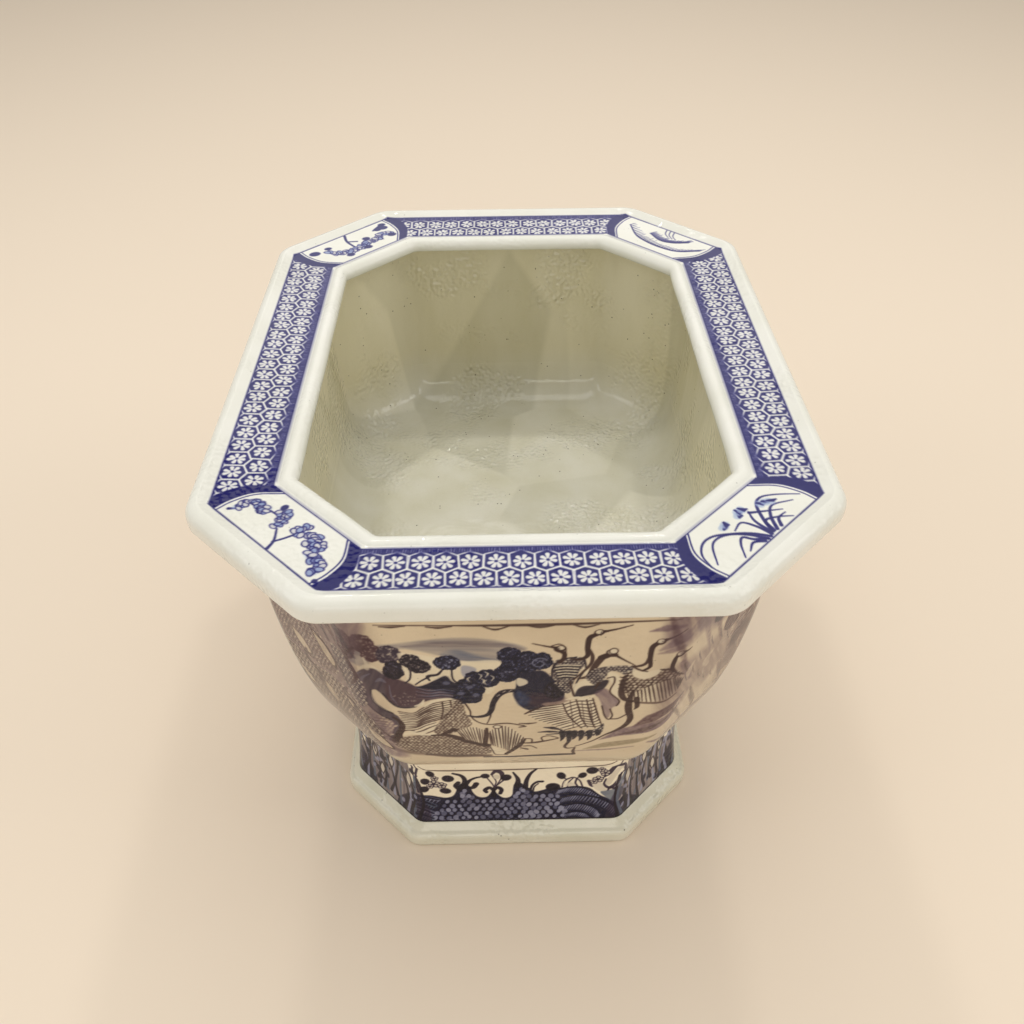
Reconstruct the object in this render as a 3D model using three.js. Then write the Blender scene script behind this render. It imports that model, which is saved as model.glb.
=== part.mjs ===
// Octagonal glazed jardiniere standing on its own hollow ceramic stand.
// Millimetres, +Z up, the floor at Z = 0, the long way of the pot along Y.
//
// Both pots are pressed from clay members that are luted together before firing, and each
// member is a named mesh. All of them are octagonal sweeps: a section drawn as (inset, height)
// points is carried round the plan outline, where inset is the distance inside the lip's edge.

import * as THREE from 'three';
import { toCreasedNormals } from 'three/addons/utils/BufferGeometryUtils.js';

// Plan outline: a rectangle with its four corners cut at 45 degrees and softened.
const LIP_WIDTH = 390;
const LIP_LENGTH = 504;
const CORNER_CUT = 79; // along either side, at the lip's edge
const CORNER_CUT_TAPER = 0.41; // cut lost for each millimetre of inset
const CORNER_STEPS = 5; // facets in each softened corner
const ROUND_STEPS = 4; // facets in each quarter round of a section

// Stand: moulded foot, painted wall, collar and the seat inside the collar.
const FOOT_HEIGHT = 20;
const FOOT_EDGE_INSET = 57;
const FOOT_EDGE_RADIUS = 5.5;
const FOOT_EDGE_TOP = 14.5; // where the rounded edge meets the sloping top
const FOOT_SOLE_ROUND = 3;
const FOOT_INNER_STEP = 4; // how far the foot reaches in past the wall it carries
const FOOT_CORNER_RADIUS = 14;

const STAND_WALL_HEIGHT = 64.5;
const STAND_WALL_THICKNESS = 10;
const STAND_WALL_FOOT_INSET = 65.7;
const STAND_WALL_HEAD_INSET = 68.4;
const STAND_WALL_HOLLOW = 1.4; // how far the wall's profile is drawn in between head and foot
const STAND_WALL_STEPS = 8;
const STAND_CORNER_RADIUS = 22;

const COLLAR_HEIGHT = 17;
const COLLAR_WIDTH = 6.5;
const COLLAR_OVERHANG = 0.4; // collar's edges in front of the wall's head, before its bulge
const COLLAR_BULGE = 0.8;

const SEAT_THICKNESS = 12;
const SEAT_WIDTH = 34;
const SEAT_GAP = 0.3; // between the seat's rim and the collar

// Jardiniere: foot ring with a spigot, swelling wall, floor pan with its cove, flanged lip.
const SEAM_GAP = 1; // shadow line between the collar and the foot ring
const SPIGOT_CLEARANCE = 1; // round the spigot, inside the collar
const SPIGOT_WIDTH = 10;
const SPIGOT_ROUND = 1.5;
const FOOT_RING_HEIGHT = 8; // above the seam

const BOWL_HEIGHT = 210; // from the seam to the lip's underside
const BOWL_NECK_INSET = 27;
const BOWL_WAIST_INSET = 60.5;
const BOWL_NECK_REACH = 67; // how far the upright upper wall holds before it turns in
const BOWL_WAIST_REACH = 26; // height over which the turned-in wall straightens at the waist
const BOWL_WAIST_SLOPE = 0.86; // inset gained per millimetre of height at the waist
const BOWL_WALL_THICKNESS = 10.8;
const BOWL_WALL_STEPS = 18;
const BOWL_CORNER_RADIUS = 26;

const PAN_UNDERSIDE = 37.5; // floor's underside above the seam
const PAN_THICKNESS = 16;
const PAN_RIM_STEPS = 4;
const PAN_GAP = 0.3; // luting line between the pan or its cove and the wall
const PAN_REBATE = 1; // how deep the cove's coil is let into the pan
const COVE_HEIGHT = 36; // cove from the floor up to the wall
const COVE_REACH = 25;
const COVE_SAG = 2.5; // how far the cove is dished below a straight slope
const COVE_STEPS = 4;

const LIP_THICKNESS = 13; // at the outer line of the painted band
const LIP_UNDER_ROUND = 4;
const LIP_ROLL_RADIUS = 7.4;
const LIP_ROLL_RISE = 3.5; // roll above the painted band
const BAND_OUTER_INSET = 13.6;
const BAND_WIDTH = 35.1;
const BAND_FALL = 2.2; // the band dips towards the opening
const BEAD_RADIUS = 6.2;
const BEAD_RISE = 1.5; // bead above the band's inner line
const LIP_CORNER_RADIUS = 22;
const LIP_CORNER_TAPER = 0.23; // corner radius lost for each millimetre of inset

// Heights that follow from the stack of members.
const STAND_WALL_TOP = FOOT_HEIGHT + STAND_WALL_HEIGHT;
const COLLAR_TOP = STAND_WALL_TOP + COLLAR_HEIGHT;
const SEAT_TOP = STAND_WALL_TOP + SEAT_THICKNESS;
const SEAM = COLLAR_TOP + SEAM_GAP;
const FOOT_RING_TOP = SEAM + FOOT_RING_HEIGHT;
const LIP_UNDERSIDE = SEAM + BOWL_HEIGHT;
const BAND_OUTER_HEIGHT = LIP_UNDERSIDE + LIP_THICKNESS;
const BAND_INNER_HEIGHT = BAND_OUTER_HEIGHT - BAND_FALL;
const PAN_BOTTOM = SEAM + PAN_UNDERSIDE;
const PAN_TOP = PAN_BOTTOM + PAN_THICKNESS;
const REBATE_HEIGHT = PAN_TOP - PAN_REBATE;
const COVE_TOP = PAN_TOP + COVE_HEIGHT;

// Insets that follow from the members that nest in each other.
const COLLAR_INSET = STAND_WALL_HEAD_INSET - COLLAR_OVERHANG;
const COLLAR_INNER_INSET = COLLAR_INSET + COLLAR_WIDTH;
const SEAT_INSET = COLLAR_INNER_INSET + SEAT_GAP;
const SPIGOT_INSET = COLLAR_INNER_INSET + SPIGOT_CLEARANCE;
const SPIGOT_INNER_INSET = SPIGOT_INSET + SPIGOT_WIDTH;
const BAND_INNER_INSET = BAND_OUTER_INSET + BAND_WIDTH;

// One point of a section: how far inside the lip's edge, how high, how round its corners are.
function sectionPoint(inset, height, cornerRadius) {
  return { inset, height, cornerRadius };
}

// Round stretch of a section. 0 degrees faces outwards, 90 up and 180 inwards.
function roundStretch(centreInset, centreHeight, radius, fromDegrees, toDegrees, cornerRadiusAt) {
  const steps = Math.max(2, Math.round((Math.abs(toDegrees - fromDegrees) / 90) * ROUND_STEPS));
  const points = [];
  for (let step = 0; step <= steps; step += 1) {
    const angle = THREE.MathUtils.degToRad(fromDegrees + ((toDegrees - fromDegrees) * step) / steps);
    const inset = centreInset - radius * Math.cos(angle);
    const height = centreHeight + radius * Math.sin(angle);
    points.push(sectionPoint(inset, height, cornerRadiusAt(inset)));
  }
  return points;
}

// Plan outline at one section point, anticlockwise from above: eight corners of 45 degrees.
function planRing({ inset, height, cornerRadius }) {
  const halfWidth = LIP_WIDTH / 2 - inset;
  const halfLength = LIP_LENGTH / 2 - inset;
  const cut = CORNER_CUT - CORNER_CUT_TAPER * inset;
  const corners = [
    new THREE.Vector2(halfWidth, -(halfLength - cut)),
    new THREE.Vector2(halfWidth, halfLength - cut),
    new THREE.Vector2(halfWidth - cut, halfLength),
    new THREE.Vector2(-(halfWidth - cut), halfLength),
    new THREE.Vector2(-halfWidth, halfLength - cut),
    new THREE.Vector2(-halfWidth, -(halfLength - cut)),
    new THREE.Vector2(-(halfWidth - cut), -halfLength),
    new THREE.Vector2(halfWidth - cut, -halfLength),
  ];
  const turn = Math.PI / 4;
  const ring = [];
  corners.forEach((corner, index) => {
    const before = corners[(index + corners.length - 1) % corners.length];
    const heading = corner.clone().sub(before).normalize();
    const tangent = cornerRadius * Math.tan(turn / 2);
    const start = corner.clone().addScaledVector(heading, -tangent);
    const inward = new THREE.Vector2(-heading.y, heading.x);
    const centre = start.clone().addScaledVector(inward, cornerRadius);
    for (let step = 0; step <= CORNER_STEPS; step += 1) {
      const spoke = start.clone().rotateAround(centre, (turn * step) / CORNER_STEPS);
      ring.push(new THREE.Vector3(spoke.x, spoke.y, height));
    }
  });
  return ring;
}

// Skin over a list of plan rings. A closed section comes back to its first ring and makes a
// ring-shaped member; an open one gets a flat cap at each end and makes a solid member.
function sweepSection(section, isClosed) {
  const rings = section.map(planRing);
  const ringSize = rings[0].length;
  const positions = rings.flat().flatMap((point) => point.toArray());
  const indices = [];
  const bandCount = isClosed ? rings.length : rings.length - 1;
  for (let band = 0; band < bandCount; band += 1) {
    const lower = band * ringSize;
    const upper = ((band + 1) % rings.length) * ringSize;
    for (let step = 0; step < ringSize; step += 1) {
      const next = (step + 1) % ringSize;
      indices.push(lower + step, lower + next, upper + next);
      indices.push(lower + step, upper + next, upper + step);
    }
  }
  if (!isClosed) {
    const last = (rings.length - 1) * ringSize;
    for (let step = 1; step < ringSize - 1; step += 1) {
      indices.push(0, step + 1, step);
      indices.push(last, last + step, last + step + 1);
    }
  }
  const geometry = new THREE.BufferGeometry();
  geometry.setAttribute('position', new THREE.Float32BufferAttribute(positions, 3));
  geometry.setIndex(indices);
  return toCreasedNormals(geometry, THREE.MathUtils.degToRad(28));
}

function glazed(color, roughness) {
  return new THREE.MeshStandardMaterial({ color, roughness, metalness: 0 });
}

function namedMesh(name, geometry, material) {
  const mesh = new THREE.Mesh(geometry, material);
  mesh.name = name;
  return mesh;
}

// Even steps from one height to another, both ends included.
function heightSteps(from, to, steps) {
  return Array.from({ length: steps + 1 }, (unused, step) => from + ((to - from) * step) / steps);
}

// --- Stand -----------------------------------------------------------------------------------

// Moulded foot: rounded edge, sloping top up to the wall, flat sole.
function standFoot() {
  const fixedRadius = () => FOOT_CORNER_RADIUS;
  const innerInset = STAND_WALL_FOOT_INSET + STAND_WALL_THICKNESS + FOOT_INNER_STEP;
  const soleRound = roundStretch(
    FOOT_EDGE_INSET + FOOT_SOLE_ROUND, FOOT_SOLE_ROUND, FOOT_SOLE_ROUND, -90, 0, fixedRadius);
  const edgeRound = roundStretch(
    FOOT_EDGE_INSET + FOOT_EDGE_RADIUS, FOOT_EDGE_TOP - FOOT_EDGE_RADIUS,
    FOOT_EDGE_RADIUS, 0, 60, fixedRadius);
  const section = [
    ...soleRound,
    ...edgeRound,
    sectionPoint(STAND_WALL_FOOT_INSET, FOOT_HEIGHT, FOOT_CORNER_RADIUS),
    sectionPoint(innerInset, FOOT_HEIGHT, FOOT_CORNER_RADIUS),
    sectionPoint(innerInset, 0, FOOT_CORNER_RADIUS),
  ];
  return sweepSection(section, true);
}

// Inset of the stand wall's face: drawn in towards the head, with a slightly hollow profile.
function standWallInset(height) {
  const rise = (height - FOOT_HEIGHT) / STAND_WALL_HEIGHT;
  const straight = THREE.MathUtils.lerp(STAND_WALL_FOOT_INSET, STAND_WALL_HEAD_INSET, rise);
  return straight + STAND_WALL_HOLLOW * Math.sin(Math.PI * rise);
}

// Corners soften from the foot's radius to the waist's.
function standCornerRadius(height) {
  const rise = (height - FOOT_HEIGHT) / STAND_WALL_HEIGHT;
  return THREE.MathUtils.lerp(FOOT_CORNER_RADIUS, STAND_CORNER_RADIUS, rise);
}

function standWall() {
  const heights = heightSteps(FOOT_HEIGHT, STAND_WALL_TOP, STAND_WALL_STEPS);
  const outer = heights.map((height) => (
    sectionPoint(standWallInset(height), height, standCornerRadius(height))));
  const inner = heights.map((height) => (
    sectionPoint(standWallInset(height) + STAND_WALL_THICKNESS, height, standCornerRadius(height))));
  return sweepSection([...outer, ...inner.reverse()], true);
}

// Plain collar round the stand's head, bulging like a flat half round.
function standCollar() {
  const heights = heightSteps(STAND_WALL_TOP, COLLAR_TOP, 2 * ROUND_STEPS);
  const outer = heights.map((height) => {
    const rise = (height - STAND_WALL_TOP) / COLLAR_HEIGHT;
    const inset = COLLAR_INSET - COLLAR_BULGE * Math.sin(Math.PI * rise);
    return sectionPoint(inset, height, STAND_CORNER_RADIUS);
  });
  const section = [
    ...outer,
    sectionPoint(COLLAR_INNER_INSET, COLLAR_TOP, STAND_CORNER_RADIUS),
    sectionPoint(COLLAR_INNER_INSET, STAND_WALL_TOP, STAND_CORNER_RADIUS),
  ];
  return sweepSection(section, true);
}

// Flat seat inside the collar, on the wall's head, with the open middle of a hollow stand.
function standSeat() {
  const innerInset = SEAT_INSET + SEAT_WIDTH;
  const section = [
    sectionPoint(SEAT_INSET, STAND_WALL_TOP, STAND_CORNER_RADIUS),
    sectionPoint(SEAT_INSET, SEAT_TOP, STAND_CORNER_RADIUS),
    sectionPoint(innerInset, SEAT_TOP, STAND_CORNER_RADIUS),
    sectionPoint(innerInset, STAND_WALL_TOP, STAND_CORNER_RADIUS),
  ];
  return sweepSection(section, true);
}

// --- Jardiniere ------------------------------------------------------------------------------

// The swelling wall's profile: upright below the lip, turning in towards the waist.
const bowlProfile = new THREE.CubicBezierCurve(
  new THREE.Vector2(BOWL_NECK_INSET, LIP_UNDERSIDE),
  new THREE.Vector2(BOWL_NECK_INSET, LIP_UNDERSIDE - BOWL_NECK_REACH),
  new THREE.Vector2(BOWL_WAIST_INSET - BOWL_WAIST_SLOPE * BOWL_WAIST_REACH, SEAM + BOWL_WAIST_REACH),
  new THREE.Vector2(BOWL_WAIST_INSET, SEAM),
);

// Inset of the bowl's face at a height, found on the profile by halving.
function bowlInset(height) {
  let upper = 0;
  let lower = 1;
  for (let halving = 0; halving < 40; halving += 1) {
    const middle = (upper + lower) / 2;
    if (bowlProfile.getPoint(middle).y > height) {
      upper = middle;
    } else {
      lower = middle;
    }
  }
  return bowlProfile.getPoint(upper).x;
}

const BOWL_INNER_CORNER_RADIUS = BOWL_CORNER_RADIUS - BOWL_WALL_THICKNESS;

// Foot ring: carries the wall's curve down to the seam, then steps in to a spigot that drops
// inside the collar and stands on the seat.
function bowlFootRing() {
  const heights = heightSteps(SEAM, FOOT_RING_TOP, 2);
  const outer = heights.map((height) => (
    sectionPoint(bowlInset(height), height, BOWL_CORNER_RADIUS)));
  const spigotCorner = () => STAND_CORNER_RADIUS;
  const spigotRound = roundStretch(
    SPIGOT_INSET + SPIGOT_ROUND, SEAT_TOP + SPIGOT_ROUND, SPIGOT_ROUND, 0, -90, spigotCorner);
  const section = [
    ...outer,
    sectionPoint(SPIGOT_INNER_INSET, FOOT_RING_TOP, STAND_CORNER_RADIUS),
    sectionPoint(SPIGOT_INNER_INSET, SEAT_TOP, STAND_CORNER_RADIUS),
    ...spigotRound.reverse(),
    sectionPoint(SPIGOT_INSET, SEAM, STAND_CORNER_RADIUS),
  ];
  return sweepSection(section, true);
}

function bowlWall() {
  const heights = heightSteps(FOOT_RING_TOP, LIP_UNDERSIDE, BOWL_WALL_STEPS);
  const outer = heights.map((height) => (
    sectionPoint(bowlInset(height), height, BOWL_CORNER_RADIUS)));
  const inner = heights.map((height) => (
    sectionPoint(bowlInset(height) + BOWL_WALL_THICKNESS, height, BOWL_INNER_CORNER_RADIUS)));
  return sweepSection([...outer, ...inner.reverse()], true);
}

// Inset of the wall's inner face where its facets run straight between two height steps.
function bowlInnerInset(height) {
  const step = (LIP_UNDERSIDE - FOOT_RING_TOP) / BOWL_WALL_STEPS;
  const below = FOOT_RING_TOP + Math.floor((height - FOOT_RING_TOP) / step) * step;
  const along = (height - below) / step;
  const outerInset = THREE.MathUtils.lerp(bowlInset(below), bowlInset(below + step), along);
  return outerInset + BOWL_WALL_THICKNESS;
}

// Inner face of the wall between two heights, as the luted members meet it: a hair inside.
function wallFit(from, to, steps) {
  return heightSteps(from, to, steps).map((height) => (
    sectionPoint(bowlInnerInset(height) + PAN_GAP, height, BOWL_INNER_CORNER_RADIUS)));
}

// Where the cove's toe ends on the floor.
function coveToeInset() {
  return bowlInnerInset(COVE_TOP) + PAN_GAP + COVE_REACH;
}

// Floor pan: a slab whose rim follows the wall's inner face, with a shallow rebate for the cove.
function bowlFloor() {
  const fieldInset = coveToeInset() + PAN_GAP;
  const section = [
    ...wallFit(PAN_BOTTOM, REBATE_HEIGHT, PAN_RIM_STEPS),
    sectionPoint(fieldInset, REBATE_HEIGHT, BOWL_INNER_CORNER_RADIUS),
    sectionPoint(fieldInset, PAN_TOP, BOWL_INNER_CORNER_RADIUS),
  ];
  return sweepSection(section, false);
}

// Cove: the coil of clay pressed into the corner between the pan and the wall, wiped hollow.
function bowlCove() {
  const face = [];
  for (let step = 1; step <= COVE_STEPS; step += 1) {
    const fall = step / COVE_STEPS;
    const dish = COVE_SAG * Math.sin(Math.PI * fall);
    const inset = coveToeInset() - COVE_REACH * (1 - fall) - dish;
    const height = COVE_TOP - COVE_HEIGHT * fall;
    face.push(sectionPoint(inset, height, BOWL_INNER_CORNER_RADIUS));
  }
  const section = [
    ...wallFit(REBATE_HEIGHT, COVE_TOP, PAN_RIM_STEPS),
    ...face,
    sectionPoint(coveToeInset(), REBATE_HEIGHT, BOWL_INNER_CORNER_RADIUS),
  ];
  return sweepSection(section, true);
}

// Lip: rolled outer edge, dipping band for the painted border, raised bead round the opening.
function lipFlange() {
  const cornerAt = (inset) => LIP_CORNER_RADIUS - LIP_CORNER_TAPER * inset;
  const rollHeight = BAND_OUTER_HEIGHT + LIP_ROLL_RISE - LIP_ROLL_RADIUS;
  const beadInset = BAND_INNER_INSET + BEAD_RADIUS;
  const beadHeight = BAND_INNER_HEIGHT + BEAD_RISE - BEAD_RADIUS;
  const underRound = roundStretch(
    LIP_UNDER_ROUND, LIP_UNDERSIDE + LIP_UNDER_ROUND, LIP_UNDER_ROUND, -90, 0, cornerAt);
  const edgeRoll = roundStretch(LIP_ROLL_RADIUS, rollHeight, LIP_ROLL_RADIUS, 0, 90, cornerAt);
  const bead = roundStretch(beadInset, beadHeight, BEAD_RADIUS, 45, 225, cornerAt);
  const section = [
    ...underRound,
    ...edgeRoll,
    sectionPoint(BAND_OUTER_INSET, BAND_OUTER_HEIGHT, cornerAt(BAND_OUTER_INSET)),
    sectionPoint(BAND_INNER_INSET, BAND_INNER_HEIGHT, cornerAt(BAND_INNER_INSET)),
    ...bead,
    sectionPoint(BAND_INNER_INSET, LIP_UNDERSIDE, cornerAt(BAND_INNER_INSET)),
  ];
  return sweepSection(section, true);
}

const jardiniere = new THREE.Group();
jardiniere.add(namedMesh('lip_flange', lipFlange(), glazed('#ebe7d8', 0.16)));
jardiniere.add(namedMesh('bowl_wall', bowlWall(), glazed('#cdbd9c', 0.2)));
jardiniere.add(namedMesh('bowl_floor', bowlFloor(), glazed('#c4bfa6', 0.14)));
jardiniere.add(namedMesh('bowl_cove', bowlCove(), glazed('#c0b99c', 0.14)));
jardiniere.add(namedMesh('bowl_foot_ring', bowlFootRing(), glazed('#d6c6a4', 0.35)));

const stand = new THREE.Group();
stand.add(namedMesh('stand_collar', standCollar(), glazed('#ddceae', 0.2)));
stand.add(namedMesh('stand_seat', standSeat(), glazed('#d8cbb2', 0.6)));
stand.add(namedMesh('stand_wall', standWall(), glazed('#77708a', 0.22)));
stand.add(namedMesh('stand_foot', standFoot(), glazed('#cbc8b0', 0.16)));

const jardiniereOnStand = new THREE.Group();
jardiniereOnStand.add(jardiniere);
jardiniereOnStand.add(stand);

export default jardiniereOnStand;
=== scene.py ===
import math

import bpy
import numpy as np
from mathutils import Matrix, Vector


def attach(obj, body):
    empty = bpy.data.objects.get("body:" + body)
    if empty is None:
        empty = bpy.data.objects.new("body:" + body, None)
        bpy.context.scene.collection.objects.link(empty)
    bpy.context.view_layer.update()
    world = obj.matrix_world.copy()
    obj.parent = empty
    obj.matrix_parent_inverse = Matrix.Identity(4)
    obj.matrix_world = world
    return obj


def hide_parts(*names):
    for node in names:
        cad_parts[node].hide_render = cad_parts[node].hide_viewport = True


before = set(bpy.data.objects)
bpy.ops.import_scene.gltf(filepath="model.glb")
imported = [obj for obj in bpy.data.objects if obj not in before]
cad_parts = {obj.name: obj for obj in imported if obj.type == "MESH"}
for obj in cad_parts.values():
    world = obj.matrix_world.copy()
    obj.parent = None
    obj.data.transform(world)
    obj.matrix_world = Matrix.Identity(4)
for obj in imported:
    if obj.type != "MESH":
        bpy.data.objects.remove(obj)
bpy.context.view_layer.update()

# --- Studio ------------------------------------------------------------------------------------
# The pot is seen from the front and above. The camera stands where the photograph was taken
# from, over a plain pale floor, under wide soft lamps.

MM = 0.001
MIDDLE_OF_POT = Vector((0, 0, 0.2))
COOL, NEUTRAL, WARM = (0.97, 0.98, 1.0), (1.0, 0.98, 0.95), (1.0, 0.97, 0.92)
studio = bpy.context.scene
studio.view_settings.view_transform = "Standard"
studio.view_settings.look = "None"


def aim_camera(place, azimuth, elevation, roll, lens):
    """Camera at a place in millimetres that looks along +Y turned by azimuth, and down."""
    a, e, r = (math.radians(x) for x in (azimuth, elevation, roll))
    back = Vector((math.sin(a) * math.cos(e), -math.cos(a) * math.cos(e), math.sin(e)))
    right = Vector((math.cos(a), math.sin(a), 0))
    up = back.cross(right)
    across = right * math.cos(r) + up * math.sin(r)
    upright = up * math.cos(r) - right * math.sin(r)
    camera = bpy.data.objects.new("camera", bpy.data.cameras.new("camera"))
    turn = Matrix((across, upright, back)).transposed().to_4x4()
    camera.matrix_world = Matrix.Translation(Vector(place) * MM) @ turn
    camera.data.lens = lens
    camera.data.sensor_width = 36
    camera.data.clip_start = 0.02
    studio.collection.objects.link(camera)
    studio.camera = camera


def lay_floor(half, colour):
    """Wide matt paper under the pot."""
    mesh = bpy.data.meshes.new("floor")
    corners = [(-half, -half, 0), (half, -half, 0), (half, half, 0), (-half, half, 0)]
    mesh.from_pydata(corners, [], [(0, 1, 2, 3)])
    paper = bpy.data.materials.new("pale_floor")
    paper.use_nodes = True
    shader = paper.node_tree.nodes["Principled BSDF"]
    shader.inputs["Base Color"].default_value = (*colour, 1)
    shader.inputs["Roughness"].default_value = 0.9
    mesh.materials.append(paper)
    floor = bpy.data.objects.new("floor", mesh)
    studio.collection.objects.link(floor)


def hang_lamp(name, place, size, watts, colour):
    """Soft box that faces the middle of the pot. Place and size are in metres."""
    lamp = bpy.data.lights.new(name, "AREA")
    lamp.shape = "RECTANGLE"
    lamp.size, lamp.size_y = size
    lamp.energy = watts
    lamp.color = colour
    box = bpy.data.objects.new(name, lamp)
    box.location = place
    box.rotation_euler = (MIDDLE_OF_POT - box.location).to_track_quat("-Z", "Y").to_euler()
    studio.collection.objects.link(box)


def raise_walls(colour, strength):
    """Even light from the studio's pale walls."""
    studio.world = bpy.data.worlds.new("studio_walls")
    studio.world.use_nodes = True
    walls = studio.world.node_tree.nodes["Background"]
    walls.inputs["Color"].default_value = (*colour, 1)
    walls.inputs["Strength"].default_value = strength


aim_camera((-8.91, -602.8, 687.4), azimuth=-0.78, elevation=40.32, roll=-0.49, lens=33.926)
lay_floor(half=9.0, colour=(0.80, 0.69, 0.56))
raise_walls(colour=(1.0, 0.96, 0.90), strength=0.54)
for name, place, size, watts, colour in (
        ("overhead_box", (-0.1, 0.2, 2.8), (2.2, 2.0), 20, NEUTRAL),
        ("left_box", (-2.4, -0.6, 1.6), (1.2, 1.6), 10, COOL),
        ("right_box", (2.4, -0.4, 1.6), (1.2, 1.6), 12, NEUTRAL),
        ("front_box", (0.2, -2.7, 1.0), (2.0, 1.2), 14.5, WARM),
        ("back_box", (0.0, 2.8, 2.2), (2.4, 1.2), 9, WARM),
        ("ceiling_spot_left", (-0.45, 0.9, 2.3), (0.2, 0.1), 5, WARM),
        ("ceiling_spot_right", (0.45, 0.9, 2.3), (0.2, 0.1), 5, WARM)):
    hang_lamp(name, place, size, watts, colour)

# --- Stand foot --------------------------------------------------------------------------------
# Moulded flange of white clay at the foot of the stand, under a thin celadon-white glaze that
# pools along its rounded edge. Pressed in a mould and luted under the wall.

LIP_WIDTH, LIP_LENGTH = 390.0, 504.0
CORNER_CUT, CORNER_CUT_TAPER = 79.0, 0.41
TYPICAL_INSET = 27.0
FOOT_OUT, FOOT_BACK, FOOT_TOP, FOOT_CORNER = 57.0, 79.7, 20.0, 14.0
SOLE_EDGE, FOOT_ROLL = 3.0, 5.5
SIDES = ("front", "front_right", "right", "back_right", "back", "back_left", "left", "front_left")


def side_half(side, inset):
    """Half the developed width of one side of the octagon, up to the middle of its corners."""
    cut = CORNER_CUT - CORNER_CUT_TAPER * inset
    if "_" in side:
        return cut / math.sqrt(2)
    width = LIP_WIDTH if side in ("front", "back") else LIP_LENGTH
    return width / 2 - inset - cut


def side_axes(side):
    """Unit vectors along one side and out of it, in plan."""
    turn = math.radians(45 * SIDES.index(side))
    return (np.array((math.cos(turn), math.sin(turn))),
            np.array((math.sin(turn), -math.cos(turn))))


def side_points(side, inset, radius, share):
    """Plan points along one side. inset and radius are columns, share runs from -1 to 1."""
    half_width, half_length = LIP_WIDTH / 2 - inset, LIP_LENGTH / 2 - inset
    cut = CORNER_CUT - CORNER_CUT_TAPER * inset
    along, outward = side_axes(side)
    x = {"front": 0, "back": 0, "right": half_width, "left": -half_width}.get(side)
    if x is None:
        x = (half_width - cut / 2) * (1 if "right" in side else -1)
    y = {"front": -half_length, "back": half_length, "right": 0, "left": 0}.get(side)
    if y is None:
        y = (half_length - cut / 2) * (1 if "back" in side else -1)
    half = side_half(side, inset)
    tangent = radius * math.tan(math.pi / 8)
    straight = half - tangent
    developed = share * (straight + radius * math.pi / 8)
    over = np.maximum(np.abs(developed) - straight, 0)
    angle = over / radius
    reach = np.sign(developed) * (np.minimum(np.abs(developed), straight) + radius * np.sin(angle))
    sag = radius * (1 - np.cos(angle))
    return (x + reach * along[0] - sag * outward[0],
            y + reach * along[1] - sag * outward[1])


def columns(fine, coarse):
    """Shares along each side, at the fine pitch in front, where the painting is seen closest."""
    shares = {}
    for side in SIDES:
        pitch = fine if side.startswith("front") else coarse
        count = max(6, round(2 * side_half(side, TYPICAL_INSET) / pitch))
        shares[side] = (np.arange(count) + 0.5) / count * 2 - 1
    return shares


def octagon_skin(rows, shares):
    """Points of a swept member: one ring of plan points for each (inset, height, radius) row."""
    inset, height, radius = (np.array(c, float)[:, None] for c in zip(*rows))
    x, y = (np.concatenate(c, 1) for c in zip(*(
        side_points(side, inset, radius, shares[side][None, :]) for side in SIDES)))
    return np.stack([x, y, height + 0 * x], -1)


def bake_map(mesh, rows, around):
    """Lays the quads out as stacked strips on one square sheet, for the colours to be kept on."""
    strips = max(1, round(math.sqrt(around / rows)))
    row, col = (a.ravel() for a in np.meshgrid(range(rows), range(around), indexing="ij"))
    strip = col * strips // around
    start = -(-strip * around // strips)
    wide = -(-(strip + 1) * around // strips) - start
    corners = np.array(((0, 0), (0, 1), (1, 1), (1, 0)))
    u = ((col - start)[:, None] + corners[:, 1]) / wide[:, None]
    v = (row[:, None] + corners[:, 0]) / rows
    sheet = np.stack([0.003 + 0.994 * u, (strip[:, None] + 0.01 + 0.98 * v) / strips], -1)
    mesh.uv_layers.new(name="OFBake").data.foreach_set("uv", sheet.ravel())


def member_mesh(name, skin, inside=None):
    """Quads over a grid of rings. Rings from inside on take the piece's second material."""
    rings, around = skin.shape[:2]
    row = np.arange(rings)[:, None]
    col = np.arange(around)[None, :]
    after_row, after_col = (row + 1) % rings, (col + 1) % around
    quads = np.stack([row * around + col, row * around + after_col,
                      after_row * around + after_col, after_row * around + col], -1).reshape(-1, 4)
    mesh = bpy.data.meshes.new(name)
    mesh.vertices.add(rings * around)
    mesh.vertices.foreach_set("co", skin.ravel() * MM)
    mesh.loops.add(quads.size)
    mesh.loops.foreach_set("vertex_index", quads.ravel().astype(np.int32))
    mesh.polygons.add(len(quads))
    mesh.polygons.foreach_set("loop_start", np.arange(0, quads.size, 4, dtype=np.int32))
    mesh.polygons.foreach_set("use_smooth", np.ones(len(quads), bool))
    if inside:
        mesh.polygons.foreach_set("material_index",
                                  np.repeat((row.ravel() >= inside).astype(np.int32), around))
    mesh.update(calc_edges=True)
    bake_map(mesh, rings, around)
    return mesh


def show(mesh, body, slot, replaced, *materials):
    """Puts a finished member in the scene, in place of the solid it details."""
    piece = bpy.data.objects.new(mesh.name, mesh)
    studio.collection.objects.link(piece)
    for material in materials:
        mesh.materials.append(material)
    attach(piece, body)
    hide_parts(replaced)


def arc_rows(inset, height, radius, start, end, steps, corner):
    """Section points round an arc, from the outward side (0 degrees) over the top (90)."""
    angle = np.radians(np.linspace(start, end, steps + 1))
    return [(inset - radius * math.cos(a), height + radius * math.sin(a), corner) for a in angle]


def straight_rows(*ends, pitch=3.0):
    """Section points along straight stretches between (inset, height, corner) ends."""
    rows = []
    for a, b in zip(np.array(ends, float), np.array(ends[1:], float)):
        steps = max(1, round(math.dist(a[:2], b[:2]) / pitch))
        rows += [tuple(a + (b - a) * k / steps) for k in range(steps)]
    return rows + [ends[-1]]


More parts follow.
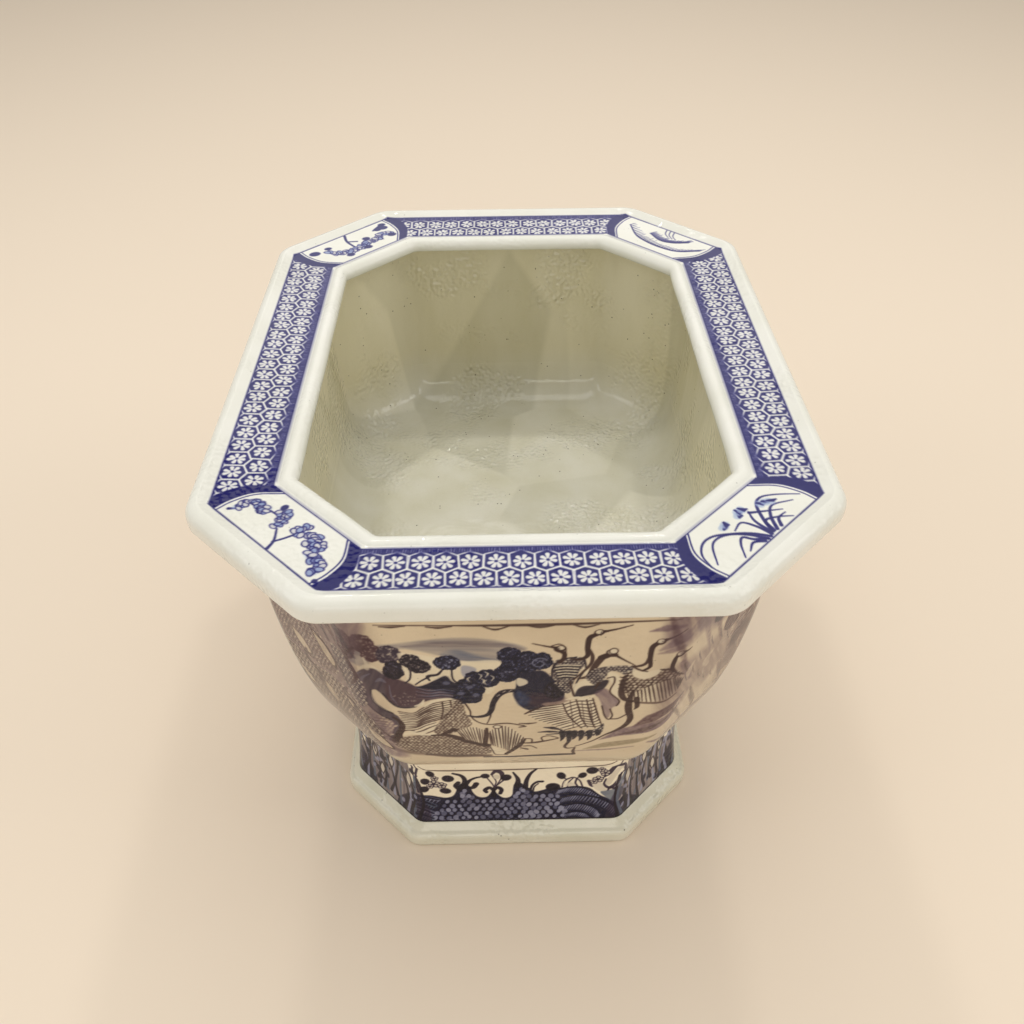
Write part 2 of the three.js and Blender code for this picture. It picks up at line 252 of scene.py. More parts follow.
def put(tree, kind, inputs, **settings):
    """Adds a shader node. Each input takes a value or another node's output."""
    made = tree.nodes.new("ShaderNode" + kind)
    for key, value in settings.items():
        setattr(made, key, value)
    for key, value in inputs.items():
        if isinstance(value, bpy.types.NodeSocket):
            tree.links.new(value, made.inputs[key])
        else:
            made.inputs[key].default_value = value
    return made


def blend(tree, share, one, other, kind="MIX"):
    """Colour that goes from one to the other as share goes from 0 to 1."""
    return put(tree, "Mix", {0: share, 6: one, 7: other}, data_type="RGBA",
               blend_type=kind).outputs[2]


def step_between(tree, value, low, high, to_low=0.0, to_high=1.0):
    """Value between low and high, carried over to between to_low and to_high."""
    return put(tree, "MapRange", {"Value": value, "From Min": low, "From Max": high,
                                  "To Min": to_low, "To Max": to_high}).outputs[0]


def glaze(name, tint, shade, specks=0.5, gloss=(0.09, 0.2), streaks=(1, 1, 1), ripple=0.05,
          peel=0.0, shine=0.5, painted_light_below=None, facet_shade=0.0):
    """Fired glaze: tint darkened by shade where it pools, iron specks, uneven gloss and ripple.

    peel is how strongly patches of it dried to an orange-peel skin that breaks up reflections.
    painted_light_below = (colour, low, high) is painted light: a paler tint that the tint turns to
    below a height in metres, for surfaces lit more from above. facet_shade is painted shade: how
    much broad flats are darkened at random, standing in for facets that catch the light unevenly.
    Scales count cells in a metre.
    """
    material = bpy.data.materials.new(name)
    material.use_nodes = True
    tree = material.node_tree
    place = put(tree, "TexCoord", {}).outputs["Object"]
    drawn = put(tree, "Mapping", {"Vector": place, "Scale": streaks}).outputs[0]
    cloud = put(tree, "TexNoise", {"Vector": drawn, "Scale": 24.0, "Detail": 4.0}).outputs[0]
    grain = put(tree, "TexNoise", {"Vector": place, "Scale": 900.0, "Detail": 2.0}).outputs[0]
    iron = put(tree, "TexVoronoi", {"Vector": place, "Scale": 210.0}).outputs["Distance"]
    rare = put(tree, "TexNoise", {"Vector": place, "Scale": 70.0, "Detail": 1.0}).outputs[0]
    if isinstance(tint, str):
        base = put(tree, "Attribute", {}, attribute_name=tint).outputs["Color"]
    else:
        base = (*tint, 1)
    # painted light: below the given height the tint turns paler, for surfaces lit from above
    if painted_light_below:
        height = put(tree, "SeparateXYZ", {0: place}).outputs["Z"]
        base = blend(tree, step_between(tree, height, *painted_light_below[1:]), (*painted_light_below[0], 1), base)
    # painted shade: broad flats darkened at random, standing in for facets that catch the light
    # unevenly
    if facet_shade:
        flats = put(tree, "TexVoronoi", {"Vector": drawn, "Scale": 11.0, "Smoothness": 0.08},
                    feature="SMOOTH_F1").outputs["Color"]
        tone = put(tree, "SeparateColor", {0: flats}).outputs[0]
        base = blend(tree, step_between(tree, tone, 0, 1, 0, facet_shade), base, (0.72, 0.72, 0.68, 1),
                     "MULTIPLY")
    shade = (*shade, 1)
    colour = blend(tree, step_between(tree, cloud, 0.35, 0.75), base, shade, "MULTIPLY")
    colour = blend(tree, step_between(tree, grain, 0.5, 0.8, 0.0, 0.3), colour, shade, "MULTIPLY")
    dot = put(tree, "Math", {0: step_between(tree, iron, 0.16, 0.08),
                             1: step_between(tree, rare, 0.6, 0.64)}, operation="MULTIPLY")
    dot = put(tree, "Math", {0: dot.outputs[0], 1: specks}, operation="MULTIPLY").outputs[0]
    colour = blend(tree, dot, colour, (0.05, 0.035, 0.025, 1))
    swell = put(tree, "TexNoise", {"Vector": drawn, "Scale": 60.0, "Detail": 3.0}).outputs[0]
    skin = put(tree, "TexNoise", {"Vector": place, "Scale": 300.0, "Detail": 0.0}).outputs[0]
    patch = put(tree, "TexNoise", {"Vector": place, "Scale": 17.0, "Detail": 2.0}).outputs[0]
    dried = step_between(tree, patch, 0.46, 0.6, 0.0, peel)
    bump = put(tree, "Bump", {"Height": swell, "Strength": ripple, "Distance": 0.004})
    bump = put(tree, "Bump", {"Height": skin, "Strength": dried, "Distance": 0.002,
                              "Normal": bump.outputs[0]})
    shader = tree.nodes["Principled BSDF"]
    shader.inputs["Specular IOR Level"].default_value = shine
    tree.links.new(colour, shader.inputs["Base Color"])
    tree.links.new(step_between(tree, cloud, 0.3, 0.8, *gloss), shader.inputs["Roughness"])
    tree.links.new(bump.outputs[0], shader.inputs["Normal"])
    return material


foot_rows = (arc_rows(FOOT_OUT + SOLE_EDGE, SOLE_EDGE, SOLE_EDGE, -90, 0, 6, FOOT_CORNER)
             + arc_rows(FOOT_OUT + FOOT_ROLL, 9, FOOT_ROLL, 0, 60, 12, FOOT_CORNER)
             + straight_rows((60.8, 14.2, FOOT_CORNER), (65.7, FOOT_TOP, FOOT_CORNER), pitch=1)
             + straight_rows((FOOT_BACK, FOOT_TOP, FOOT_CORNER), (FOOT_BACK, 0, FOOT_CORNER),
                             (FOOT_OUT + SOLE_EDGE, 0, FOOT_CORNER))[:-1])
foot_glaze = glaze("foot_glaze", (0.70, 0.665, 0.545), (0.84, 0.86, 0.80), specks=0.8,
                   gloss=(0.06, 0.14), peel=0.5)
show(member_mesh("stand_foot_glazed", octagon_skin(foot_rows, columns(2.5, 4))),
     "stand", "stand_foot_glaze", "stand_foot", foot_glaze)

# --- Stand wall --------------------------------------------------------------------------------
# Pressed slab wall, a little hollow in profile. The painter lays a pebbled bank, curling posts,
# blossoms and tall rocks on it in cobalt and manganese before the clear glaze goes on.

WALL_FOOT, WALL_HEAD, COLLAR_HEAD, STAND_REACH = FOOT_TOP, 84.5, 101.5, 68.4
STAND_THICK, STAND_CORNER = 10.0, 22.0


def swatch(red, green, blue):
    """Colour as read off a test tile, in steps of 255."""
    return np.array((red, green, blue), float) / 255


def linear(tint):
    """Tile colour turned into the linear light that a glaze needs."""
    return np.where(tint > 0.04045, ((tint + 0.055) / 1.055) ** 2.4, tint / 12.92)


def soft_noise(x, y, seed):
    """Smooth unevenness between 0 and 1, one swell for each unit of x and y."""
    left, below = np.floor(x).astype(np.int64), np.floor(y).astype(np.int64)
    across, upward = x - left, y - below
    across, upward = (f * f * (3 - 2 * f) for f in (across, upward))

    def knot(i, j):
        mixed = (i * 374761393 + j * 668265263 + seed * 144665) & 0xFFFFFFFF
        mixed = ((mixed ^ (mixed >> 13)) * 1274126177) & 0xFFFFFFFF
        return ((mixed ^ (mixed >> 16)) & 0xFFFF) / 65535

    low = knot(left, below) * (1 - across) + knot(left + 1, below) * across
    high = knot(left, below + 1) * (1 - across) + knot(left + 1, below + 1) * across
    return low * (1 - upward) + high * upward


def curve(points, closed=False, fine=5):
    """Smooth line through given points."""
    p = np.array(points, float)
    if len(p) < 3:
        return np.array([p[0] + (p[-1] - p[0]) * k / fine for k in range(fine + 1)])
    if closed:
        p = np.concatenate([p[-1:], p, p[:2]])
    else:
        p = np.concatenate([2 * p[:1] - p[1:2], p, 2 * p[-1:] - p[-2:-1]])
    out = []
    for a, b, c, d in zip(p, p[1:], p[2:], p[3:]):
        for k in range(fine):
            t = k / fine
            out.append(b + (c - a) * t / 2 + (a - 2.5 * b + 2 * c - d / 2) * t * t
                       + (-a / 2 + 1.5 * b - 1.5 * c + d / 2) * t ** 3)
    if not closed:
        out.append(p[-2])
    return np.array(out)


class Painting:
    """Unrolled skin of a piece, in millimetres, on which the painter lays colours.

    unroll carries a side's own points over to the skin, and wraps says that the skin's left and
    right ends meet.
    """

    def __init__(self, width, low, high, cell, ground, unroll, wraps=True):
        self.width, self.low, self.cell, self.unroll, self.wraps = width, low, cell, unroll, wraps
        self.cols, self.rows = round(width / cell), round((high - low) / cell) + 1
        self.x = (np.arange(self.cols) + 0.5) * cell
        self.y = low + np.arange(self.rows) * cell
        self.colour = np.tile(np.array(ground, float), (self.rows, self.cols, 1))
        self.on(None)

    def on(self, side, x=0.0, y=0.0, scale=1.0, flip=False):
        """Next strokes are laid on this side, about this point."""
        self.side, self.shift, self.scale = side, np.array((x, y), float), scale
        self.flip = np.array((-1.0 if flip else 1.0, 1.0))
        return self

    def placed(self, points):
        """The points carried over from the side's own frame to the unrolled skin."""
        local = np.array(points, float).reshape(-1, 2) * self.flip * self.scale
        return self.unroll(self.side, local + self.shift)

    def copies(self, line, reach):
        """The line with the cells round it, and again where it crosses the skin's join."""
        for jump in ((0, -self.width, self.width) if self.wraps else (0,)):
            rows, cols = self.cells(line + (jump, 0), reach)
            if rows.start < rows.stop and cols.start < cols.stop:
                yield line + (jump, 0), rows, cols

    def cells(self, line, reach):
        """Rows and columns of the cells within reach of a line."""
        x0, y0 = (line.min(0) - reach - (0, self.low)) / self.cell
        x1, y1 = (line.max(0) + reach - (0, self.low)) / self.cell
        return (slice(max(0, int(y0)), min(self.rows, max(0, int(y1) + 2))),
                slice(max(0, int(x0)), min(self.cols, max(0, int(x1) + 2))))

    def lay(self, rows, cols, cover, colour):
        """Covers a block of cells with a colour, by a share for each cell."""
        spot = self.colour[rows, cols]
        spot += cover[..., None] * (np.array(colour) - spot)

    def brush(self, points, width, colour, strength=1.0, soft=0.6, fine=5, dry=0.0, seed=1):
        """One stroke. width may swell and thin along it; dry lets the ground show in streaks."""
        path = self.placed(curve(points, fine=fine) if fine else points)
        swell = np.interp(np.linspace(0, 1, len(path)), np.linspace(0, 1, np.size(width)),
                          np.atleast_1d(width)) / 2 * self.scale
        reach = swell.max() + soft
        for line, rows, cols in self.copies(path, reach):
            cover = np.zeros((rows.stop - rows.start, cols.stop - cols.start))
            for k in range(0, len(line) - 1, 4):
                r, c = self.cells(line[k:k + 5], reach)
                if r.start < r.stop and c.start < c.stop:
                    far = self.far_from(line[k:k + 5], swell[k:k + 5], r, c)
                    spot = cover[r.start - rows.start:r.stop - rows.start,
                                 c.start - cols.start:c.stop - cols.start]
                    np.maximum(spot, np.clip(0.5 - far / soft, 0, 1), out=spot)
            if dry:
                x, y = np.meshgrid(self.x[cols], self.y[rows])
                cover *= 1 - dry * soft_noise(x / 1.7, y / 1.7, seed)
            self.lay(rows, cols, cover * strength, colour)

    def far_from(self, line, girth, rows, cols):
        """How far each cell of a block lies outside a stroke of this girth."""
        x, y = self.x[cols][None, :], self.y[rows][:, None]
        nearest = np.full((y.size, x.size), 1e9)
        for a, b, wa, wb in zip(line, line[1:], girth, girth[1:]):
            d = b - a
            t = np.clip(((x - a[0]) * d[0] + (y - a[1]) * d[1]) / max(d @ d, 1e-9), 0, 1)
            gap = np.hypot(x - a[0] - t * d[0], y - a[1] - t * d[1]) - (wa + (wb - wa) * t)
            np.minimum(nearest, gap, out=nearest)
        return nearest

    def fill(self, points, colour, strength=1.0, soft=1.0, fine=4, streak=None, seed=1):
        """A wash inside an outline. streak = (degrees, length, breadth, depth) of unevenness."""
        edge = self.placed(curve(points, True, fine) if fine else points)
        for edge, rows, cols in self.copies(edge, soft):
            x, y = self.x[cols][None, :], self.y[rows][:, None]
            inside = np.zeros((y.size, x.size), bool)
            nearest = np.full((y.size, x.size), 1e9)
            for a, b in zip(edge, np.roll(edge, -1, 0)):
                d = b - a
                t = np.clip(((x - a[0]) * d[0] + (y - a[1]) * d[1]) / max(d @ d, 1e-9), 0, 1)
                gap = (x - a[0] - t * d[0]) ** 2 + (y - a[1] - t * d[1]) ** 2
                np.minimum(nearest, gap, out=nearest)
                if a[1] != b[1]:
                    crosses = ((a[1] > y) != (b[1] > y)) & (x < a[0] + (y - a[1]) * d[0] / d[1])
                    inside ^= crosses
            far = np.sqrt(nearest) * np.where(inside, -1, 1)
            cover = np.clip(0.5 - far / soft, 0, 1) * strength
            if streak:
                cover = cover * self.unevenness(x, y, streak, seed)
            self.lay(rows, cols, cover, colour)

    @staticmethod
    def unevenness(x, y, streak, seed):
        """Share of a wash that stays at each cell, in long streaks."""
        degrees, length, breadth, depth = streak
        a = math.radians(degrees)
        along, across = x * math.cos(a) + y * math.sin(a), y * math.cos(a) - x * math.sin(a)
        rough = (soft_noise(along / length, across / breadth, seed)
                 + 0.5 * soft_noise(along / length * 2.1, across / breadth * 2.3, seed + 7)) / 1.5
        return 1 - depth * rough

    def dab(self, x, y, radius, colour, strength=1.0, soft=0.6, flat=1.0, turn=0.0):
        """One press of the brush: a round or oval spot."""
        centre = self.placed((x, y))
        size = radius * self.scale
        a = math.radians(turn)
        for spot, rows, cols in self.copies(centre, size * max(1, flat) + soft):
            u, v = self.x[cols][None, :] - spot[0, 0], self.y[rows][:, None] - spot[0, 1]
            along, across = u * math.cos(a) + v * math.sin(a), v * math.cos(a) - u * math.sin(a)
            far = (np.hypot(along / flat, across) - size) * min(1, max(flat, 0.5))
            self.lay(rows, cols, np.clip(0.5 - far / soft, 0, 1) * strength, colour)

    def at(self, x, y):
        """Linear colours at points of the unrolled skin."""
        across = x / self.cell - 0.5
        upward = np.clip((y - self.low) / self.cell, 0, self.rows - 1.001)
        c, r = np.floor(across).astype(int), np.floor(upward).astype(int)
        fc, fr = (across - c)[..., None], (upward - r)[..., None]
        if self.wraps:
            c, d = c % self.cols, (c + 1) % self.cols
        else:
            c, d = np.clip(c, 0, self.cols - 1), np.clip(c + 1, 0, self.cols - 1)
        low = self.colour[r, c] * (1 - fc) + self.colour[r, d] * fc
        high = self.colour[r + 1, c] * (1 - fc) + self.colour[r + 1, d] * fc
        return linear(low * (1 - fr) + high * fr)


hand = np.random.RandomState(7)


def spread(points, count):
    """count points, evenly spaced along a smooth line."""
    line = curve(points)
    along = np.linspace(0, len(line) - 1, count)
    return np.stack([np.interp(along, range(len(line)), line[:, c]) for c in (0, 1)], 1)


def inside(edge, x, y):
    """Whether a spot lies within a closed outline."""
    step = np.roll(edge, -1, 0) - edge
    crosses = (edge[:, 1] > y) != (edge[:, 1] + step[:, 1] > y)
    run = step[:, 0] / np.where(step[:, 1] == 0, 1e-9, step[:, 1])
    return np.count_nonzero(crosses & (x < edge[:, 0] + (y - edge[:, 1]) * run)) % 2 == 1


def pebbles(art, outline, pitch, dark, light, depth=0.9, slant=0.0, stretch=1.25, size=0.3):
    """Dark wash with rows of bare pebbles or scales."""
    edge = curve(outline, True)
    art.fill(outline, dark, depth, 1.0, streak=(slant + 20, 9, 3, 0.2), seed=5)
    low, high = edge.min(0), edge.max(0)
    for row, y in enumerate(np.arange(low[1], high[1], pitch * 0.86)):
        for x in np.arange(low[0] + (row % 2) * pitch / 2, high[0], pitch):
            px, py = np.array((x, y)) + hand.uniform(-0.14, 0.14, 2) * pitch
            if inside(edge, px, py):
                art.dab(px, py, pitch * size * hand.uniform(0.75, 1.15), light,
                        hand.uniform(0.5, 0.95), 0.7, stretch, slant + hand.uniform(-25, 25))


def strokes(art, colour, *lines, strength=0.92):
    """Several plain strokes of one colour, each a list of points and then its widths."""
    for points, width in lines:
        art.brush(points, width, colour, strength)


def side_starts(reach):
    """Where each side begins on a skin unrolled at this inset, and where the last one ends."""
    return np.concatenate([[0], np.cumsum([2 * side_half(side, reach) for side in SIDES])])


def painted_mesh(name, rows, shares, art, reach, inside):
    """Member whose skin carries the painting, taken column by column off the unrolled skin."""
    mesh = member_mesh(name, octagon_skin(rows, shares), inside=inside)
    across = np.concatenate([start + side_half(side, reach) * (1 + shares[side])
                             for side, start in zip(SIDES, side_starts(reach))])
    upward = np.array([height for _, height, _ in rows])
    keep_colours(mesh, art.at(*np.meshgrid(across, upward)))
    return mesh


def keep_colours(mesh, painted):
    """Keeps the painting on the mesh, one colour for each of its points."""
    tints = np.ones((len(mesh.vertices), 4))
    tints[:, :3] = painted.reshape(-1, 3)
    layer = mesh.color_attributes.new(name="painted", type="FLOAT_COLOR", domain="POINT")
    layer.data.foreach_set("color", tints.ravel())


NAVY = swatch(8, 8, 36)
INK = swatch(20, 12, 28)
UMBER = swatch(56, 36, 34)
PLUM = swatch(48, 36, 54)
WHITE = swatch(214, 203, 184)
LAVENDER = swatch(150, 150, 170)
SLATE = swatch(94, 102, 118)


def stand_unroll(side, points):
    """Millimetres along one side of the stand and above the floor, on its unrolled skin."""
    start = side_starts(STAND_REACH)[SIDES.index(side)]
    return points + (start + side_half(side, STAND_REACH), 0)


stand_art = Painting(side_starts(STAND_REACH)[-1], WALL_FOOT, COLLAR_HEAD, 0.4,
                     swatch(243, 232, 208), stand_unroll)


def hatched(art, arc, drop, count, light=LAVENDER):
    """Dark arc with short bare strokes hanging from it, as on a pitted garden rock."""
    for x, y in spread(arc, count):
        art.brush([(x, y - 0.8), (x - drop * 0.25, y - drop * 0.6), (x - drop * 0.5, y - drop)],
                  (1.2, 1.1, 0.4), light, hand.uniform(0.5, 0.9), fine=0)
    art.brush(arc, (1.4, 2.2, 1.4), NAVY, 0.95)


def blossom(art, x, y, radius):
    """Bare petals ringed in dark."""
    for a in np.arange(0.3, 2 * math.pi, 1.26):
        px, py = x + radius * 0.62 * math.cos(a), y + radius * 0.62 * math.sin(a)
        art.dab(px, py, radius * 0.52, PLUM, 0.9)
        art.dab(px, py, radius * 0.3, WHITE, 0.9, 0.4)
    art.dab(x, y, radius * 0.18, PLUM, 0.9, 0.4)


def bare_leaf(art, outline, ground, ink, widths, strength):
    """Leaf left bare inside a fine line."""
    art.fill(outline, ground, strength, 0.8)
    art.brush(outline + outline[:1], widths, ink, 0.9)


def garden_bank(art):
    """Pebbled bank that breaks into curling posts and a striped rock, with blossoms above."""
    art.fill([(-90, 12), (-84, 48), (-76, 51), (-68, 51.8), (-60, 49.5), (-55, 48.5), (-50, 50.5),
              (-47.5, 56), (-46, 63), (-42, 66), (-37, 62), (-35, 55), (-32, 50), (-28, 48),
              (-24, 49), (-21.3, 53), (-19, 58), (-16.8, 53), (-13, 48), (-9, 47), (-5, 50),
              (-4.2, 58), (-3, 64), (2, 65), (5, 60), (9, 58), (12, 54), (18, 55.5), (22, 58),
              (26, 62), (30, 60), (33, 58), (45, 59.5), (54, 57), (61, 49), (68, 44), (76, 38),
              (84, 40), (88, 12)], NAVY, 0.97, 0.9, streak=(80, 8, 2, 0.08), seed=51)
    pebbles(art, [(-60, 14), (-61, 36), (-56, 45), (-47, 46), (-42, 60), (-37, 50), (-30, 45),
                  (-19, 45), (-10, 44), (-2, 52), (2, 60), (8, 52), (16, 51), (26, 52), (31, 44),
                  (32, 14)], 5.4, NAVY, LAVENDER, 0.95, 90, 1.3, 0.37)
    for k, (line, width, tone) in enumerate((
            ([(-82, 47), (-72, 49.5), (-61, 46)], 3.2, LAVENDER),
            ([(-82, 41), (-72, 43.5), (-64, 39)], 4.2, SLATE),
            ([(-82, 34), (-73, 34.5), (-65, 30)], 4.4, LAVENDER),
            ([(-81, 27), (-72, 28), (-65, 24)], 3.4, SLATE))):
        art.brush(line, width, tone, 0.75, dry=0.5, seed=52 + k)
        hatched(art, line, 4, 9, tone)
    for arc, drop in (([(31, 56), (38, 58.5), (46, 58.5), (54, 55), (61, 48)], 6.5),
                      ([(34, 46), (42, 48.5), (51, 48), (62, 44), (70, 38), (75, 31)], 7),
                      ([(35, 36), (45, 38.5), (54, 36), (60, 31), (62, 26)], 7),
                      ([(36, 27), (44, 29), (51, 27), (55, 22)], 5)):
        hatched(art, arc, drop, int(2.2 * len(arc) + drop * 1.3))
    art.fill([(63, 53), (80, 54), (80, 44), (74, 39), (66, 46)], SLATE, 0.9, 0.8,
             streak=(10, 12, 3, 0.2), seed=56)
    strokes(art, INK,
            ([(-42, 62), (-40.5, 70), (-43, 76), (-49, 79)], (4, 3.4, 2)),
            ([(-42, 60), (-38, 68), (-33, 72.5), (-25, 75)], (5, 2.4, 1.6)),
            ([(-45, 58), (-47.5, 63), (-45.5, 67)], (3, 4, 3.6)),
            ([(-37, 60), (-34, 61), (-32, 65)], (3, 4, 4.4)),
            ([(-19, 50), (-19, 57), (-18.5, 61)], (4, 2.4, 1.2)),
            ([(-19, 56), (-22, 60), (-25.5, 57), (-24.5, 54.5)], (2.4, 3.6, 3)),
            ([(-19, 56), (-16, 60), (-13, 57), (-14, 52.5)], (2.4, 3.6, 3)),
            ([(-1, 62), (-0.5, 70), (-4, 79)], (5, 3.4, 1.4)),
            ([(5, 58), (6, 68), (9, 77), (13.5, 83)], (4.4, 3.4, 2.6, 1.6)),
            ([(9, 56), (10.5, 62), (14, 66), (18, 66.5)], (1.8, 2.2, 2.6)),
            ([(11, 55), (12, 60), (15, 64)], (1.4, 1)))
    art.dab(26, 59.5, 4.6, INK, 0.95, 0.8, 1.2)
    for x, y, turn in ((-41, 56.5, 90), (-43, 50, 90), (3.5, 55.5, 90), (-38, 50, 90)):
        art.dab(x, y, 1.8, LAVENDER, 0.9, 0.6, 1.35, turn)
    # blossoms, pods and looping stems
    strokes(art, PLUM,
            ([(-18.5, 61), (-21, 67), (-25, 75)], (1.2, 1.0)),
            ([(-18, 61), (-13, 67), (-9, 72)], 1.4),
            ([(-18, 62), (-17, 68), (-20, 76)], 1.0), ([(-17, 62), (-14, 69), (-12, 76)], 1.0),
            ([(-20, 77), (-17, 81), (-13, 79), (-12, 74)], (2.2, 4.2, 3.4)),
            ([(33, 59), (35, 67), (41, 71), (46, 67), (48.5, 59)], 1.3),
            ([(37, 59), (38, 65), (41, 70)], 1.1), ([(44, 70), (43, 64), (44.5, 60)], 1.6),
            ([(32, 73), (36, 69), (40, 71)], 1.2), ([(48, 73), (45, 71)], 1.2),
            ([(53, 66), (54.5, 61), (56, 59)], (3, 2)),
            ([(64, 70), (68, 76), (72, 83), (77, 84.5)], (1, 4.4, 4, 2)),
            ([(66, 68), (65, 61), (69, 57), (73, 60), (77, 68), (80, 73)],
             (1.6, 2.4, 4, 2.2, 1.4)),
            ([(76, 84), (81, 80), (82.5, 68), (83, 52)], (4, 3, 2.6)),
            ([(68, 54), (70, 58), (74, 55), (77, 62), (78, 72)], (1.4, 3, 1.6)))
    strokes(art, WHITE, ([(68, 63), (70, 69), (75, 78), (79, 79)], (5, 5.6, 3)),
            ([(76, 70), (75.5, 62), (77, 56)], (1.6, 3, 2)), ([(35, 66), (34, 61)], 1.2))
    art.fill([(35, 60.5), (39, 65), (43, 60.5)], WHITE, 0.9)
    art.fill([(56, 59), (58, 63.5), (63, 63), (65, 58), (67, 53.5), (61, 53)], WHITE, 0.85)
    for x, y, r, flat, turn in ((-66, 79, 2.9, 1.4, 120), (-70.5, 69, 3.4, 1.2, 60),
                                (-71.5, 59, 3.2, 1.3, 50), (-53, 72.5, 4.2, 1.1, 160),
                                (-55.5, 57, 3.4, 1.3, 160), (-25, 75, 3.0, 1.1, 0),
                                (-9.5, 72.5, 3.9, 1.1, 30), (32, 73.5, 3.3, 1.35, 110),
                                (48, 73.5, 3.0, 1.25, 60), (55, 79.5, 4.4, 1.0, 0)):
        art.dab(x, y, r, INK, 0.95, 0.9, flat, turn)
        art.dab(x - 0.6, y + 0.5, r * 0.35, PLUM, 0.8, 0.8)
    art.dab(-16.5, 73.5, 2.4, WHITE, 0.92, 0.5, 1.25, 100)
    for x, y, r in ((-64, 66, 4.4), (-58, 64, 3.6), (-63, 73, 2.8), (-67, 63, 2.6), (60, 68, 4.0),
                    (65, 76, 3.8), (57, 65, 3.0), (62, 80.5, 2.8)):
        blossom(art, x, y, r)
    strokes(art, PLUM, ([(-79.5, 86), (-80.5, 76), (-78.5, 66), (-80, 54)], (2.2, 1.6, 1.4)),
            ([(-75.5, 85), (-77.5, 75), (-78, 64), (-76.5, 54)], (2.2, 1.6, 2.2)),
            *(([(-80, y), (-78, y + 2), (-76.5, y + 5)], 0.9) for y in (57, 63, 69, 75)))


def reed_rocks(art):
    """Tall ribbed rocks and reeds that climb a narrow side and run up over the collar."""
    art.fill([(-40, 12), (-38, 52), (-30, 64), (-26, 92), (-20, 106), (6, 106), (12, 88), (14, 70),
              (26, 62), (40, 50), (44, 12)], PLUM, 0.72, 1.2, streak=(88, 26, 2.2, 0.4), seed=61)
    for k, x in enumerate(range(-36, 40, 4)):
        top = 104 - 1.1 * abs(x + 4) - hand.uniform(0, 26)
        foot = 20 + hand.uniform(0, 12)
        lean = hand.uniform(-4.5, 4.5)
        strokes(art, (INK, SLATE, INK, LAVENDER)[k % 4],
                ([(x, foot), (x + lean, 44), (x - lean * 0.6, 70), (x + lean, top)],
                 (3.2, 2.2, 2.6, 0.8)), strength=0.85)
    for _ in range(60):
        x, y = hand.uniform(-34, 30), hand.uniform(26, 92)
        art.dab(x, y, hand.uniform(0.8, 2.4), (INK, NAVY, LAVENDER)[hand.randint(3)], 0.8, 0.8,
                1.5, hand.uniform(60, 120))
    for x, y, tall in ((-14, 84, 9), (2, 88, 10), (-6, 66, 8), (14, 62, 9), (-26, 62, 10),
                       (6, 46, 7)):
        leaf = [(x, y - tall), (x + 3.4, y - 1), (x + 0.6, y + tall), (x - 2.6, y + 1)]
        bare_leaf(art, leaf, WHITE, INK, (0.8, 1.5, 0.8), 0.85)
    strokes(art, PLUM, ([(20, 70), (21, 82), (26, 86), (30, 82), (31, 72)], (1.6, 3.2, 1.8)),
            ([(-36, 84), (-34, 93), (-37, 100)], (1, 1.6, 0.8)),
            ([(14, 60), (16, 84), (10, 104)], (1.6, 2, 1.2)))


def paint_stand(art):
    """A bank on every broad side, two on the long ones, and rocks on every narrow side."""
    for side in ("front", "back"):
        art.on(side, flip=side == "back").brush(
            [(-74, 89.5), (-71, 86.5), (-66, 84), (-50, 82.7), (0, 82.8), (40, 85), (60, 86.5),
             (66, 88), (71, 91), (74, 94)], (0.5, 1.2, 1.3, 1.3, 1.1, 0.5), UMBER, 0.9)
        garden_bank(art)
    for side in ("right", "left"):
        art.on(side).brush([(-128, 92), (-118, 86), (-60, 83), (60, 84), (118, 86), (128, 92)],
                           (0.5, 1.3, 1.3, 0.5), UMBER, 0.9)
        for flip in (False, True):
            garden_bank(art.on(side, 56 if flip else -56, flip=flip))
    for side in SIDES[1::2]:
        reed_rocks(art.on(side, flip="left" in side))
    for side in SIDES:
        half = side_half(side, STAND_REACH)
        art.on(side).brush([(-half, 20.6), (half, 20.6)], 2.2, INK, 0.9, 0.8)


paint_stand(stand_art)


def stand_row(height):
    """Section point of the stand's outer face, which leans in and is a little hollow."""
    rise = (height - WALL_FOOT) / (WALL_HEAD - WALL_FOOT)
    return (65.7 + 2.7 * rise + 1.4 * math.sin(math.pi * rise), height,
            FOOT_CORNER + (STAND_CORNER - FOOT_CORNER) * (height - WALL_FOOT)
            / (WALL_HEAD - WALL_FOOT))


bare_clay = glaze("bare_clay", (0.62, 0.54, 0.40), (0.75, 0.68, 0.60), specks=0.4,
                  gloss=(0.6, 0.8))
painted_glaze = glaze("painted_glaze", "painted", (0.88, 0.86, 0.84), specks=0.35,
                      gloss=(0.07, 0.2), ripple=0.06, peel=0.25, shine=0.28)
wall_rows = [stand_row(h) for h in np.linspace(WALL_FOOT, WALL_HEAD, 118)]
wall_back = [(inset + STAND_THICK, h, corner) for inset, h, corner in wall_rows[::-9]]
show(painted_mesh("stand_wall_painted", wall_rows + wall_back, columns(0.6, 1.2), stand_art,
                  STAND_REACH, len(wall_rows)),
     "stand", "stand_glaze", "stand_wall", painted_glaze, bare_clay)

# --- Stand collar ------------------------------------------------------------------------------
# Plain pale band round the stand's head, left bare of painting but for the rocks that run up
# over it at the corners. A strip of clay luted on the wall, glazed with it.

COLLAR_OUT, COLLAR_BACK, COLLAR_SWELL = 68.0, 74.5, 0.8
collar_rows = [(COLLAR_OUT - COLLAR_SWELL * math.sin(math.pi * rise),
                WALL_HEAD + (COLLAR_HEAD - WALL_HEAD) * rise, STAND_CORNER)
               for rise in np.linspace(0, 1, 32)]
collar_back = straight_rows((COLLAR_BACK, COLLAR_HEAD, STAND_CORNER),
                            (COLLAR_BACK, WALL_HEAD, STAND_CORNER), pitch=4)
show(painted_mesh("stand_collar_glazed", collar_rows + collar_back, columns(0.6, 1.2), stand_art,
                  STAND_REACH, len(collar_rows)),
     "stand", "collar_glaze", "stand_collar", painted_glaze, bare_clay)

